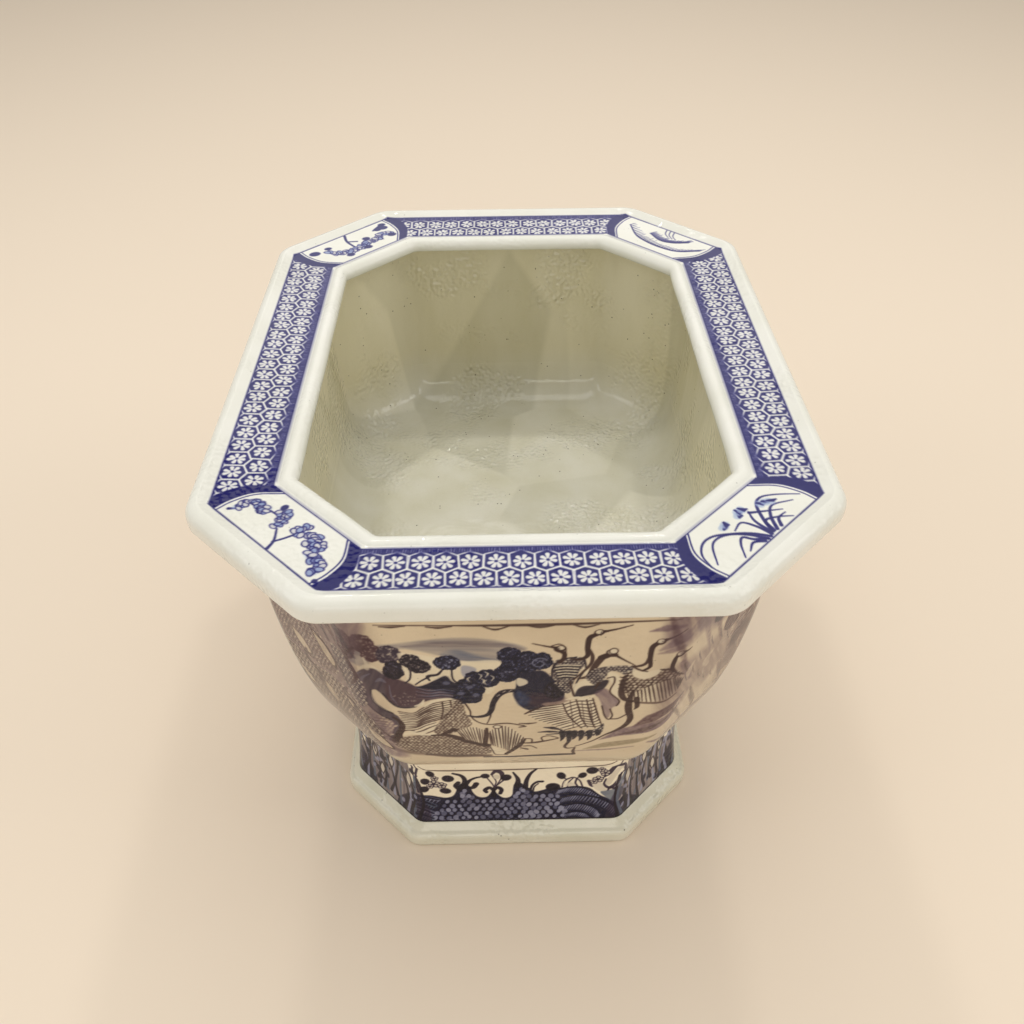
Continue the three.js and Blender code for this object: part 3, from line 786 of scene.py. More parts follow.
# --- Stand seat --------------------------------------------------------------------------------
# Flat ring of unglazed clay inside the collar, on which the bowl's spigot stands. Wiped clean of
# glaze before firing, so that the bowl doesn't stick to it.


def dress(node, material):
    """Gives a member whose solid already has its true shape its finish."""
    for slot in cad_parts[node].material_slots:
        slot.material = material


dress("stand_seat", bare_clay)

# --- Bowl foot ring and wall -------------------------------------------------------------------
# Eight-sided swelling wall that carries the main painting: pines, a hill and cranes in manganese
# brown and cobalt on cream. Pressed in one mould with softened corners, then luted on its foot
# ring, whose spigot stands inside the stand's collar.

CREAM = swatch(213, 196, 168)
PALE = swatch(222, 210, 184)
MAROON = swatch(72, 46, 54)
VIOLET = swatch(106, 84, 94)
MIST = swatch(122, 116, 120)
STEEL = swatch(136, 138, 158)
BLUE = swatch(62, 76, 108)
OLIVE = swatch(140, 126, 98)
SEAM, RING_HEAD, WALL_TOP, WIDEST = 102.5, 110.5, 312.5, 27.0
BOWL_CORNER, INNER_CORNER, BOWL_THICK = 26.0, 15.2, 10.8
SPIGOT_OUT, SPIGOT_BACK, SPIGOT_FOOT, SPIGOT_EDGE = 75.5, 85.5, 96.5, 1.5
swell_ends = np.array([(WIDEST, WALL_TOP), (WIDEST, 245.5), (38.14, 128.5), (60.5, SEAM)])
swell_steps = np.linspace(0, 1, 2001)[:, None]
SWELL = sum(k * (1 - swell_steps) ** (3 - n) * swell_steps ** n * swell_ends[n]
            for n, k in enumerate((1, 3, 3, 1)))


def bowl_inset(height):
    """How far the bowl's outer face stands in from the lip's outer edge."""
    return np.interp(-height, -SWELL[:, 1], SWELL[:, 0])


def bowl_unroll(side, points):
    """Millimetres along one side and above the floor, turned into the unrolled skin's place."""
    widest = side_half(side, WIDEST)
    middle = side_starts(WIDEST)[SIDES.index(side)] + widest
    return np.stack([middle + points[:, 0] * widest / side_half(side, bowl_inset(points[:, 1])),
                     points[:, 1]], 1)


bowl_art = Painting(side_starts(WIDEST)[-1], SEAM, WALL_TOP, 0.5, CREAM, bowl_unroll)


def foliage(art, x, y, wide, high, dark=NAVY, light=STEEL, fleck=0.7):
    """Clump of needles: a dark press with a scalloped edge and scattered bare flecks."""
    for a in np.arange(0, 2 * math.pi, 4.4 / (wide + high)):
        a += hand.uniform(-0.1, 0.1)
        art.dab(x + 0.84 * wide * math.cos(a), y + 0.84 * high * math.sin(a),
                hand.uniform(1.4, 2.3), dark, 0.93)
    ring = [(x + 0.92 * wide * math.cos(a), y + 0.92 * high * math.sin(a))
            for a in np.arange(0, 2 * math.pi, 0.5)]
    art.fill(ring, dark, 0.96, streak=(35, 5, 2.2, 0.08), seed=hand.randint(99))
    for _ in range(int(wide * high * 0.9)):
        r, a = math.sqrt(hand.uniform(0, 0.92)), hand.uniform(0, 2 * math.pi)
        art.dab(x + r * wide * math.cos(a), y + r * high * math.sin(a),
                hand.uniform(0.25, 0.62), light, fleck * hand.uniform(0.3, 1.0), 0.6,
                hand.uniform(1, 1.8), hand.uniform(0, 180))


def feathers(art, guides, count, width=0.9, bars=(), bare=0.85):
    """Long feathers through a few guide strokes: bare ground, dark quills and cross bars."""
    rows = np.stack([spread(column, count) for column in zip(*guides)], 1)
    outline = np.concatenate([rows[:, 0], rows[-1, 1:-1], rows[::-1, -1], rows[0, -2:0:-1]])
    art.fill(outline, PALE, bare, 1.0, fine=0)
    for line in rows:
        line = line + hand.uniform(-0.3, 0.3, line.shape)
        art.brush(line, (width * 0.7, width * hand.uniform(0.9, 1.4), width * 0.6), UMBER, 0.9)
    at = np.linspace(0, 1, rows.shape[1])
    for s in bars:
        line = [[np.interp(s, at, row[:, c]) for c in (0, 1)] for row in rows]
        art.brush(line, width * 0.9, UMBER, 0.85, fine=2)


def bare_spot(art, x, y, outer, inner, flat=1.0):
    """Bare spot ringed in umber, as on a crown or a knuckle."""
    art.dab(x, y, outer, UMBER, 0.95, 0.6, flat)
    art.dab(x, y, inner, PALE, 0.95, 0.5, flat)


def crane_head(art, crown, tip, neck, girth):
    """Long beak, outlined bare crown and dark curving neck."""
    crown, tip = np.array(crown, float), np.array(tip, float)
    ahead = (tip - crown) / np.hypot(*(tip - crown))
    art.brush([crown + ahead * 1.5, (crown + tip) / 2 + (0.2, -0.4), tip], (2.2, 1.3, 0.7), UMBER)
    art.brush([crown + ahead * 3.5] + neck, girth, UMBER)
    slope = math.degrees(math.atan2(ahead[1], ahead[0]))
    art.dab(*crown, 2.7, UMBER, 0.95, 0.6, 1.2, slope)
    art.dab(crown[0] - ahead[0] * 0.2, crown[1] + 0.5, 1.7, PALE, 0.95, 0.5, 1.2, slope)
    art.dab(crown[0] + ahead[0], crown[1] + 0.2, 0.4, INK, 0.9, 0.4)


def pine_hill(art):
    """Pines over a streaked hill, with a great folded wing and a pebbled bank below it."""
    art.fill([(-112, 262), (-78, 266), (-40, 271), (-15, 268.5), (4, 261), (0, 256), (-6, 248.5),
              (-30, 248), (-45, 254), (-74, 262), (-95, 245), (-108, 250)], MIST, 0.85, 2.0,
             streak=(-4, 26, 2.0, 0.6), seed=3)
    art.fill([(-70, 264), (-40, 268.5), (-12, 266), (3, 259), (-18, 262), (-45, 263)], PLUM, 0.5,
             1.6, streak=(-5, 20, 1.3, 0.85), seed=4)
    art.fill([(-47, 256), (-38, 260), (-28, 256), (-20, 252), (-12, 249), (-30, 248.5)], BLUE, 0.6,
             2.5, streak=(-12, 12, 1.3, 0.85), seed=6)
    for x, y, wide, high in ((-105, 262, 6.5, 14), (-93, 267, 7, 8), (-88, 258, 6, 8)):
        foliage(art, x, y, wide, high, MAROON, PALE, 0.45)
    foliage(art, -78, 256.5, 7, 8.5, PLUM, PALE, 0.6)
    # the bent trunk and the hill: two dark humps with a bare gap
    art.fill([(-101.7, 222), (-102.5, 229), (-101, 234), (-97, 240), (-92, 243.5), (-87, 243),
              (-82, 239), (-76, 233), (-68, 228), (-62, 224), (-52, 230), (-45, 234), (-40, 228),
              (-37, 220), (-38, 211), (-51, 210), (-60, 207), (-66, 201.5), (-73, 200.5),
              (-78, 202), (-82, 208), (-85.5, 216), (-89, 221.5), (-92, 219), (-91, 208),
              (-86, 199), (-80, 193), (-77, 188), (-76, 177), (-79, 168), (-82, 158),
              (-87, 158), (-84, 168), (-81.5, 178),
              (-83, 186), (-89, 192), (-96, 202), (-100, 211)], PLUM, 0.95, 0.9,
             streak=(66, 20, 1.8, 0.28), seed=11)
    art.fill([(-80, 236), (-70, 229), (-63, 222), (-56, 220), (-56, 210), (-62, 206), (-68, 202),
              (-76, 202.5), (-82, 210), (-83, 224)], MAROON, 0.75, 2.5,
             streak=(10, 9, 2, 0.4), seed=13)
    art.fill([(-64, 223), (-56, 226), (-50, 233), (-44, 235), (-40, 227), (-36, 220), (-38, 212),
              (-46, 217), (-55, 221)], NAVY, 0.95, 1.2, streak=(-22, 9, 1.5, 0.2), seed=2)
    for k in range(9):
        strokes(art, (STEEL, NAVY, VIOLET)[k % 3],
                ([(-64, 223 - k * 1.5), (-56, 219 - k), (-48, 220 - k), (-40, 218 - k)],
                 (0.4, 1.2, 0.5)), strength=0.6)
    strokes(art, STEEL, ([(-98, 214), (-98.5, 224), (-96, 233), (-91, 238)], (0.8, 2.4, 1)),
            ([(-88, 230), (-85, 232), (-82, 229)], (1, 3.5, 1)),
            ([(-80, 226), (-80, 214), (-77, 205)], (0.5, 1.4, 0.5)),
            ([(-101, 226), (-100, 234), (-96, 239)], (0.5, 1.2, 0.5)), strength=0.42)
    strokes(art, INK,
            ([(-102, 224), (-101, 213), (-96, 202), (-89, 192), (-83, 186)], (0.8, 1.8, 1)),
            ([(-92, 221), (-92, 209), (-86, 199), (-81, 194)], (0.8, 1.8, 1.4)),
            ([(-85, 217), (-81, 207), (-76, 201), (-68, 200.5), (-62, 204)], (0.8, 1.4, 1)))
    strokes(art, PALE, ([(-92, 243), (-92, 249), (-93, 254)], (3.0, 2.2, 1.4)),
            ([(-98, 240), (-93, 246), (-88, 245), (-82, 237)], (0.8, 2.6, 0.8)),
            ([(-91.5, 220), (-92, 210), (-88, 202), (-84, 197)], (0.4, 0.8, 0.4)), strength=0.72)
    for _ in range(34):
        art.dab(hand.uniform(-81, -64), hand.uniform(203, 218), 0.5, PALE, hand.uniform(0.15, 0.5))
    foliage(art, -76, 241, 6, 9, INK, STEEL, 0.4)
    # bare clearing, then the navy pads in front of it
    art.fill([(-72, 258), (-62, 256.5), (-52, 254), (-47, 251), (-40, 250), (-30, 249), (-13, 249),
              (-11, 240), (-14, 224), (-20, 214), (-26, 224), (-34, 226), (-41, 228), (-45, 234.5),
              (-52, 230), (-60, 227), (-67, 229), (-69.5, 238), (-71, 248)], PALE, 0.85, 1.0)
    strokes(art, PALE, ([(-70, 243), (-68, 236), (-69, 230)], (2, 1.6, 1)), strength=0.8)
    art.fill([(-35, 244), (-30, 244), (-26, 240), (-32, 232), (-35, 236)], STEEL, 0.7, 1.2)
    foliage(art, -65.5, 250, 5.4, 6.0, INK, PALE, 0.6)
    foliage(art, -60.5, 244.5, 6.4, 5.8, INK, PALE, 0.5)
    foliage(art, -43.5, 247.5, 7.6, 6.4, NAVY, STEEL, 0.95)
    for x, y, wide, high in ((-27.5, 231, 5.5, 7), (-19.5, 231, 7, 9), (-33, 223, 6, 8),
                             (-30, 212, 6.5, 7.5), (-37, 210, 4, 6), (-28, 219, 6, 6)):
        foliage(art, x, y, wide, high, NAVY, STEEL, 0.45)
    for x, y, turn in ((-21, 235, 1), (-17.5, 231, 1), (-20, 226.5, -1), (-25, 233, 1),
                       (-30, 230, -1), (-23.5, 228, 1)):
        strokes(art, PALE, ([(x, y + 3), (x + 1.8 * turn, y + 1), (x + 0.4 * turn, y - 2.4)],
                            (0.5, 1.2, 0.4)), strength=0.85)
    for x, y in ((-36.5, 215.5), (-27, 213.5), (-31, 222), (-45, 227)):
        art.dab(x, y, 1.9, STEEL, 0.55, 1.0, 1.3)
    for x, y, wide, high in ((-6, 254, 7, 7), (-8, 236, 7, 9), (-4, 245, 7, 6)):
        foliage(art, x, y, wide, high)
    strokes(art, INK, ([(-46.5, 241), (-50, 236), (-56, 234.5), (-55, 230)], (1.2, 2.4, 1.2)),
            ([(-41, 241), (-41, 233), (-39, 228), (-35, 226.5)], (1.1, 1.3, 1.2)),
            ([(-68, 246), (-66, 240), (-67, 232), (-70, 228)], (1.0, 1.2, 1.0)),
            ([(-55, 234), (-60, 230), (-64, 226)], (1.4, 1.0)),
            ([(-1, 234), (-1, 226), (-1.5, 219)], (1.2, 1.4, 1.2)))
    # folded wing: long wavy feathers, a barred strip, then scales
    feathers(art, [[(-77, 196), (-68, 193.5), (-61.5, 199), (-55, 204), (-48, 206.5), (-39, 209)],
                   [(-76, 186), (-67, 184.5), (-61, 189.5), (-55, 194), (-48, 196), (-39, 199)],
                   [(-77, 175), (-68, 175), (-62, 179.5), (-56, 183), (-50, 186), (-44, 189)]],
             10, 1.15, (0.78, 0.9), 0.92)
    feathers(art, [[(-77, 175), (-68, 175), (-62, 179.5), (-56, 183)],
                   [(-73, 170), (-66, 172), (-60, 176), (-53, 180)],
                   [(-64, 165), (-60, 168), (-55, 172), (-49, 178)]], 4, 1.1)
    strokes(art, PALE, ([(-66, 202), (-62, 204), (-60, 209)], (1.5, 3.0, 1.0)),
            ([(-60, 201), (-54, 207), (-46, 209.5), (-41, 209)], (1.2, 2.6, 2.4, 1.0)))
    pebbles(art, [(-50, 186), (-44, 198), (-39, 209), (-36, 206), (-34, 190), (-31, 178),
                  (-42, 168), (-52, 164), (-56, 170)], 2.5, UMBER, PALE, 0.8, 55)
    pebbles(art, [(-102, 190), (-93, 192), (-85, 187), (-80, 181), (-82, 172), (-85, 164),
                  (-90, 156), (-98, 160), (-103, 172)], 3.2, VIOLET, CREAM, 0.75, 40, 1.7)
    for k in range(7):
        strokes(art, UMBER, ([(-84 - k, 186 - 3 * k), (-89 - k, 187 - 3.4 * k),
                              (-96, 186 - 3.8 * k)], (0.7, 1.1, 0.6)), strength=0.6)
    pebbles(art, [(-82, 160), (-70, 164), (-52, 165), (-40, 158), (-30, 152), (-20, 147),
                  (-19, 136), (-26, 131.5), (-48, 131.5), (-64, 135), (-76, 142), (-84, 152)],
            2.8, UMBER, PALE, 0.8, 10)
    for k in range(7):
        art.dab(-76 + k * 3.2, 166.5 + 1.3 * math.sin(k), 1.7, PALE, 0.9, 0.8, 1.3)
    strokes(art, UMBER, ([(-78, 162), (-78, 168), (-74, 172), (-69, 171)], (1.8, 1.0)),
            ([(-58, 164), (-48, 164), (-40, 159), (-31, 152), (-21, 147.5)], (1.5, 5.5, 4.6)),
            ([(-50, 166), (-43, 171), (-39, 168)], (2.5, 5.0, 1.0)),
            ([(-81, 189), (-77, 183), (-76.5, 176), (-79, 168), (-83, 157)], (2, 4.5, 5.5)))
    feathers(art, [[(-41, 169.5), (-36, 157)], [(-36, 174), (-31.5, 154.5)],
                   [(-29, 173.5), (-27, 151.5)], [(-23, 170), (-23, 149)]], 11)
    feathers(art, [[(-20, 166), (-19, 148)], [(-17, 171.5), (-15, 145)], [(-11, 175), (-10, 141)],
                   [(-5, 171), (-7, 138)], [(0, 163), (-3, 140)], [(4, 156), (1, 144)]],
             14, 1.1)
    art.fill([(-20, 146), (-14, 142), (-8, 134), (-9, 131), (-17, 131), (-19, 138)], PALE,
             0.8, 0.8)
    strokes(art, UMBER, ([(-21.5, 172), (-22, 160), (-23.5, 147)], (2.2, 3.4, 4.0)),
            ([(4, 156), (1, 148), (-5, 138), (-9, 132)], (1.4, 4.0, 3.0)),
            ([(-20, 146), (-18, 138), (-16, 131), (-8, 130.5)], 0.9),
            ([(-34, 203), (-31.5, 195), (-31, 188), (-27, 181), (-20, 177.5), (-8, 178.5),
              (3, 175)], (1.4, 1.0, 1.1, 1.4, 1.2)),
            ([(-18, 194), (-19, 186), (-21, 179)], (1.2, 0.8)))
    bare_spot(art, -14.5, 174, 2.6, 1.9, 1.2)
    strokes(art, INK, ([(1, 217.5), (-8, 217), (-13, 213), (-16.5, 204), (-18, 195), (-21, 189.5),
                        (-27, 187.5), (-33, 189)], (2.6, 4.8, 4.0, 3.6, 2.8, 1.4)))
    strokes(art, PALE, *(([(x, y + 1.2), (x - 1.6, y - 0.6)], (1.0, 0.5))
                         for x, y in ((-5, 217), (-9, 216), (-12.5, 212))), strength=0.7)
    art.brush([(-90, 152), (-82, 143), (-72, 137), (-64, 134)], (3, 6, 3), UMBER, 0.55, 4.0)
    art.brush([(-63, 134), (-50, 130.5), (-35, 129.5), (-20, 129.5)], (3, 5, 3), UMBER, 0.85, 3.0)
    art.brush([(-24, 126.5), (-5, 126.3), (12, 127.6), (30, 128.8), (38, 129)],
              (1.8, 2.2, 3.2, 2.4), INK, 0.9, 1.2)


def crane_flock(art):
    """Cranes among pines: long beaks, dark necks, scaled backs and barred wings."""
    art.fill([(-1, 240), (8, 238), (14, 238), (19, 232), (25, 222), (28, 212), (26, 205),
              (14, 202), (20, 196), (12, 193), (4, 196), (-1, 203), (-4, 214), (-2, 222)],
             NAVY, 0.96, 1.4, streak=(80, 10, 2, 0.12), seed=21)
    art.fill([(8, 214), (26, 210), (30, 204), (16, 198), (6, 201)], MAROON, 0.7, 3,
             streak=(-8, 8, 1.6, 0.5), seed=22)
    art.fill([(-2, 218), (3, 214), (7, 206), (3, 200), (-1, 203)], BLUE, 0.75, 3.5,
             streak=(75, 8, 1.6, 0.5), seed=24)
    art.fill([(-1, 231), (4, 229), (5, 225), (0, 222), (-2, 226)], PALE, 0.9, 0.9)
    foliage(art, 4, 247, 9, 10.5)
    foliage(art, 13, 247.5, 6.5, 8)
    swirl = [(12 + r * math.cos(a), 245.5 + r * math.sin(a))
             for r, a in zip(np.linspace(5.4, 1.2, 22), np.linspace(0.6, 9.2, 22))]
    art.brush(swirl, (1.0, 0.8), STEEL, 0.75, fine=2)
    foliage(art, 22, 217, 6, 9, INK, STEEL, 0.45)
    pebbles(art, [(20, 238), (21, 247), (28, 250), (37, 250.5), (40, 245), (36, 236), (33, 224),
                  (32, 215), (27, 214), (22, 226)], 2.3, INK, PALE, 0.93, 20)
    for k in range(5):
        y = 242.5 - k * 2.8
        strokes(art, INK, ([(21 + k * 0.8, y - 1.4), (28, y - 0.6), (36 - k * 0.5, y - 1.4)], 1.5))
        strokes(art, PALE, ([(21 + k * 0.8, y), (28, y + 0.8), (36 - k * 0.5, y)], 1.2),
                strength=0.85)
    strokes(art, INK, ([(20, 228), (20, 240), (25, 248.5), (34, 251)], (1, 1.4, 1)),
            ([(33, 216), (36, 228), (40, 240), (39, 248)], (1, 1.2, 1)))
    crane_head(art, (24.5, 259.5), (7.5, 264.5), [(22, 258), (26.5, 255), (26.5, 250), (24, 246)],
               (2.4, 3.0, 2.8))
    crane_head(art, (46.5, 273.5), (65.5, 279.5),
               [(44.5, 271.5), (41, 268.5), (40.3, 260), (40.5, 252), (36, 248.5), (31, 249)],
               (2.2, 3.6, 3.4, 2.8, 1.2))
    art.fill([(38, 240), (42, 238), (42, 231), (38, 226), (33, 222), (32, 212), (37, 208),
              (47, 213), (49, 222), (42, 229)], PALE, 0.9, 0.9)
    strokes(art, UMBER, ([(19, 262), (23.5, 263.5), (27, 260.5), (27.5, 255)], 0.9),
            ([(41.5, 258), (43.5, 252), (43, 244), (38, 235), (33, 228)], (1.6, 2.6, 1.8, 1.2)),
            ([(31, 226), (33, 216), (35, 209.5), (41, 211)], (1.2, 1.6, 1.0)),
            ([(36, 229), (42, 231.5), (45, 240), (49, 249), (53, 252)], (1.4, 3.6, 4.8, 4.4)))
    crane_head(art, (54.5, 254.5), (70, 241.5), [(52, 252), (49, 250)], (3.6, 4.6))
    bare_spot(art, 56, 256, 3.0, 2.2)
    pebbles(art, [(41, 229), (43, 237), (49, 240), (53, 241), (60, 241.5), (67, 241), (70, 236),
                  (66, 231), (61, 235), (55, 236), (52, 228), (47, 222)], 2.4, INK, PALE,
            0.88, -10)
    art.fill([(54, 235), (60, 233), (62, 226), (63, 212), (62, 203), (59, 200), (57, 210),
              (57.5, 222), (55, 228)], PALE, 0.92, 0.9)
    art.fill([(35, 209), (36, 217), (40, 221), (47, 222), (52, 227), (55, 226), (53, 219),
              (49, 213), (41, 210)], INK, 0.95, 1.0, streak=(20, 8, 2, 0.2), seed=31)
    art.fill([(47, 213), (53, 218), (57, 213), (63, 203), (62.5, 198), (59, 195), (58, 184),
              (55, 186), (52.5, 198), (50, 207)], VIOLET, 0.85, 1.2, streak=(-60, 10, 1.6, 0.5),
             seed=32)
    strokes(art, UMBER,
            ([(54, 229), (58, 230), (58.5, 224), (56.5, 214), (63, 204), (62, 198)], 1.1),
            ([(52.5, 198), (55, 186), (58, 181), (60, 186), (58, 194)], 1.1),
            ([(49, 224), (47, 218)], (2.4, 1.2)))
    # barred wing of the tall crane
    feathers(art, [[(14, 198), (28, 201)], [(6, 190), (28, 195)], [(10, 184), (30, 190)],
                   [(16, 179), (32.5, 185)], [(23, 174), (35, 180)], [(30, 168), (39, 173)]],
             13, 1.1, bare=0.92)
    feathers(art, [[(27.5, 202), (31, 189), (36, 178), (41, 170)],
                   [(35.8, 206), (38.3, 194), (40, 183), (45, 171)],
                   [(42.5, 206), (45, 192), (47, 180), (50, 170)],
                   [(46.5, 207), (49, 195), (51, 184), (54.5, 172)]],
             4, 1.3, np.linspace(0.05, 0.95, 10), 0.92)
    strokes(art, UMBER, *(([(x, 205 - k * 1.5), (x + 3.6, 171 + k)], 0.8)
                          for k, x in enumerate((32, 39.5, 45))), strength=0.55)
    strokes(art, PALE, ([(29, 206), (36, 208.5), (41, 207), (47, 210)], (1, 3, 1.4)))
    pebbles(art, [(27, 168), (33, 166), (43, 165), (52, 170), (55, 176), (55, 165), (50, 159),
                  (40, 158.5), (31, 158), (27, 162)], 2.6, INK, PALE, 0.9, 90)
    strokes(art, INK, *(([(x, 165), (x + 0.4, 163 - drop * 0.6), (x - 0.6, 162 - drop)],
                         (4.6, 3.4, 0.7))
                        for x, drop in ((28.5, 10), (33, 16), (36.5, 8), (41, 10), (46.5, 9),
                                        (52, 3))),
            ([(28, 168), (22, 171), (16, 172)], (1, 3.6, 0.8)),
            ([(28, 165), (20, 166), (12.5, 165.5)], (1, 2.8, 0.8)),
            ([(26, 163), (18, 162)], (1.5, 0.8)), strength=0.9)
    strokes(art, UMBER, ([(33, 150), (31, 143), (33, 140), (38, 141)], (2.6, 1.8, 1.0)),
            ([(14, 198), (8, 194), (3.5, 190)], (1.2, 2.2, 1.2)))
    # the right-hand crane: scaled shoulders over long bare primaries
    art.fill([(69, 238), (74, 235), (80, 235.5), (88, 238), (84, 231), (77, 227.5), (70, 230)],
             PALE, 0.9, 0.8)
    feathers(art, [[(66, 222), (69, 206)], [(74, 222), (77, 202.5)], [(82, 226), (87, 202)],
                   [(90, 229), (95, 205)], [(97, 226), (101, 211)], [(103, 222), (102, 216)]],
             19, 1.1)
    pebbles(art, [(62, 224), (67, 236), (70, 230), (77, 227), (84, 231), (88, 238), (94, 236),
                  (102, 227), (96, 226), (88, 224), (80, 219), (70, 212), (64, 214)],
            3.0, UMBER, PALE, 0.9, 40)
    strokes(art, UMBER, ([(64, 226), (63.5, 214), (66, 206), (71, 203)], (3.2, 4.4, 3.0)),
            *(([(66, y), (63.5, y - 1.5), (61.5, y - 1)], (2.2, 1.6, 0.6))
              for y in (231, 227, 223, 219)),
            ([(69, 240), (73, 237), (78, 235)], (1.2, 1.6, 1.0)),
            ([(86, 237), (92, 236), (98, 230), (103, 226)], (1.2, 1.4, 1.0)))
    art.brush([(70, 203), (80, 200.5), (92, 201), (100, 206)], (1.4, 2.2, 1.2), UMBER, 0.7, 1.2)
    crane_head(art, (83.5, 264), (98.5, 273.5),
               [(81, 262), (78.6, 258), (78.4, 248), (79, 240), (75, 236)],
               (2.4, 3.6, 3.4, 2.6, 1.6))
    crane_head(art, (97, 250.5), (105, 252.5), [(95, 249), (93.5, 244), (93, 238), (94.5, 234)],
               (2.0, 3.2, 2.8))
    strokes(art, UMBER, ([(78, 250), (76, 243), (71, 240.5), (68, 241)], (2.0, 2.4, 1.0)),
            ([(71, 215), (69.5, 203), (70, 192), (72, 182), (69.5, 173), (64, 166), (57, 160),
              (50, 152), (44, 147), (38, 143)], (2.2, 5.2, 4.4, 3.4, 1.6, 1.1, 0.9)),
            ([(74, 206), (75, 197), (73.5, 193)], (4.0, 3.4, 0.8)),
            ([(59, 181.5), (64, 182), (69, 187)], (1.2, 1.2)))
    # mist and cloud streaks
    for line, width, tone, strength in (
            ([(76, 273.5), (86, 276), (97, 277)], (0.6, 6, 2), VIOLET, 0.85),
            ([(84, 256), (92, 262), (104, 270), (112, 276)], (2, 9, 8), VIOLET, 0.6),
            ([(83, 252.5), (91, 255), (99, 257)], (1, 4.5, 3), VIOLET, 0.6),
            ([(100, 240), (106, 228), (112, 213)], (5, 8, 3), VIOLET, 0.6),
            ([(75, 171), (86, 181), (98, 189), (108, 198)], (1, 11, 10, 3), MAROON, 0.88),
            ([(54, 153), (68, 163), (84, 168), (97, 174), (106, 184)], (1, 12, 13, 4), VIOLET,
             0.9),
            ([(66, 160), (82, 166), (98, 176)], (1, 6, 2), UMBER, 0.5),
            ([(44, 138), (58, 144), (76, 149), (92, 155)], (1, 8, 7, 2), OLIVE, 0.85),
            ([(38, 135), (50, 136), (62, 137), (78, 141)], (1, 2.6, 1), VIOLET, 0.7)):
        art.brush(line, width, tone, strength, 1.6, dry=0.35, seed=9)
    strokes(art, UMBER, ([(38, 141), (37, 135), (38, 129)], (1.2, 2.6, 2.2)),
            ([(0, 150), (8, 150), (16, 152), (26, 156)], (1.2, 2.6, 1.2)),
            ([(2, 151), (2, 156), (8, 156), (8.5, 151)], 1.2),
            ([(16, 152), (15, 158), (20, 160), (26, 157)], (1.2, 1.0)),
            ([(1, 142), (5, 140), (6, 139)], (1.4, 2.4, 1.0)),
            ([(3, 145), (8, 145), (12, 141)], (1.4, 1.0)),
            ([(0, 178), (6, 177.5), (11, 178.5)], (1.0, 2.0, 0.8)),
            ([(0, 173), (4, 174)], (1.2, 1.6)), strength=0.85)


def cloud_corner(art):
    """Washed rocks and clouds that carry the scene round a narrow side."""
    art.fill([(-56, 300), (0, 306), (54, 300), (58, 258), (30, 262), (14, 252), (-6, 258),
              (-24, 246), (-56, 250)], VIOLET, 0.88, 9, streak=(-55, 22, 3, 0.4), seed=41)
    art.fill([(-54, 250), (-30, 240), (-8, 246), (18, 236), (54, 238), (52, 190), (34, 178),
              (20, 196), (4, 180), (-12, 192), (-28, 168), (-54, 172)], MAROON, 0.5, 9,
             streak=(-58, 26, 2.4, 0.6), seed=42)
    for k in range(9):
        x = 52 - 12 * k
        art.brush([(x + 10, 292), (x, 262), (x - 14, 226)], (2, 6, 1.2),
                  (MAROON, CREAM, VIOLET)[k % 3], 0.6, 2.0, dry=0.5, seed=46)
    for x, y, wide, high, tone, fleck in ((-6, 243, 9, 12, MAROON, 0.4),
                                          (12, 262, 8, 7, PLUM, 0.4),
                                          (-24, 212, 8, 14, MAROON, 0.3)):
        foliage(art, x, y, wide, high, tone, PALE, fleck)
    for line, width, tone in (
            ([(10, 222), (14, 216), (10, 208)], (4, 9, 4), CREAM),
            ([(33, 231), (36, 224), (34, 218)], (3, 7, 3), CREAM),
            ([(22, 194), (12, 180), (2, 168), (-6, 150)], (2, 6, 5, 2), CREAM),
            ([(-36, 186), (-30, 196), (-30, 204)], (2, 5, 2), CREAM),
            ([(24, 196), (18, 182), (8, 164), (4, 152)], (2, 5, 5, 2), UMBER),
            ([(40, 186), (32, 176), (22, 160), (14, 146)], (1, 3, 2, 1), UMBER),
            ([(-10, 190), (-18, 176), (-26, 158)], (2, 5, 2), MAROON),
            ([(-44, 150), (-24, 142), (4, 146), (30, 140), (46, 146)], (2, 10, 8, 6, 2), VIOLET)):
        art.brush(line, width, tone, 0.75, 1.8, dry=0.4, seed=43)
    for k in range(22):
        x, y = -40 + k * 3.7, 205 + 26 * math.sin(k * 1.9)
        strokes(art, (UMBER, PALE, PLUM)[k % 3],
                ([(x, y), (x + 4, y + 7), (x + 6, y + 13)], (0.5, 1.3, 0.5)), strength=0.55)
    art.fill([(-54, 306), (54, 304), (60, 222), (36, 140), (0, 118), (-36, 144), (-60, 218)],
             UMBER, 0.2, 18, streak=(-58, 30, 5, 0.7), seed=50)


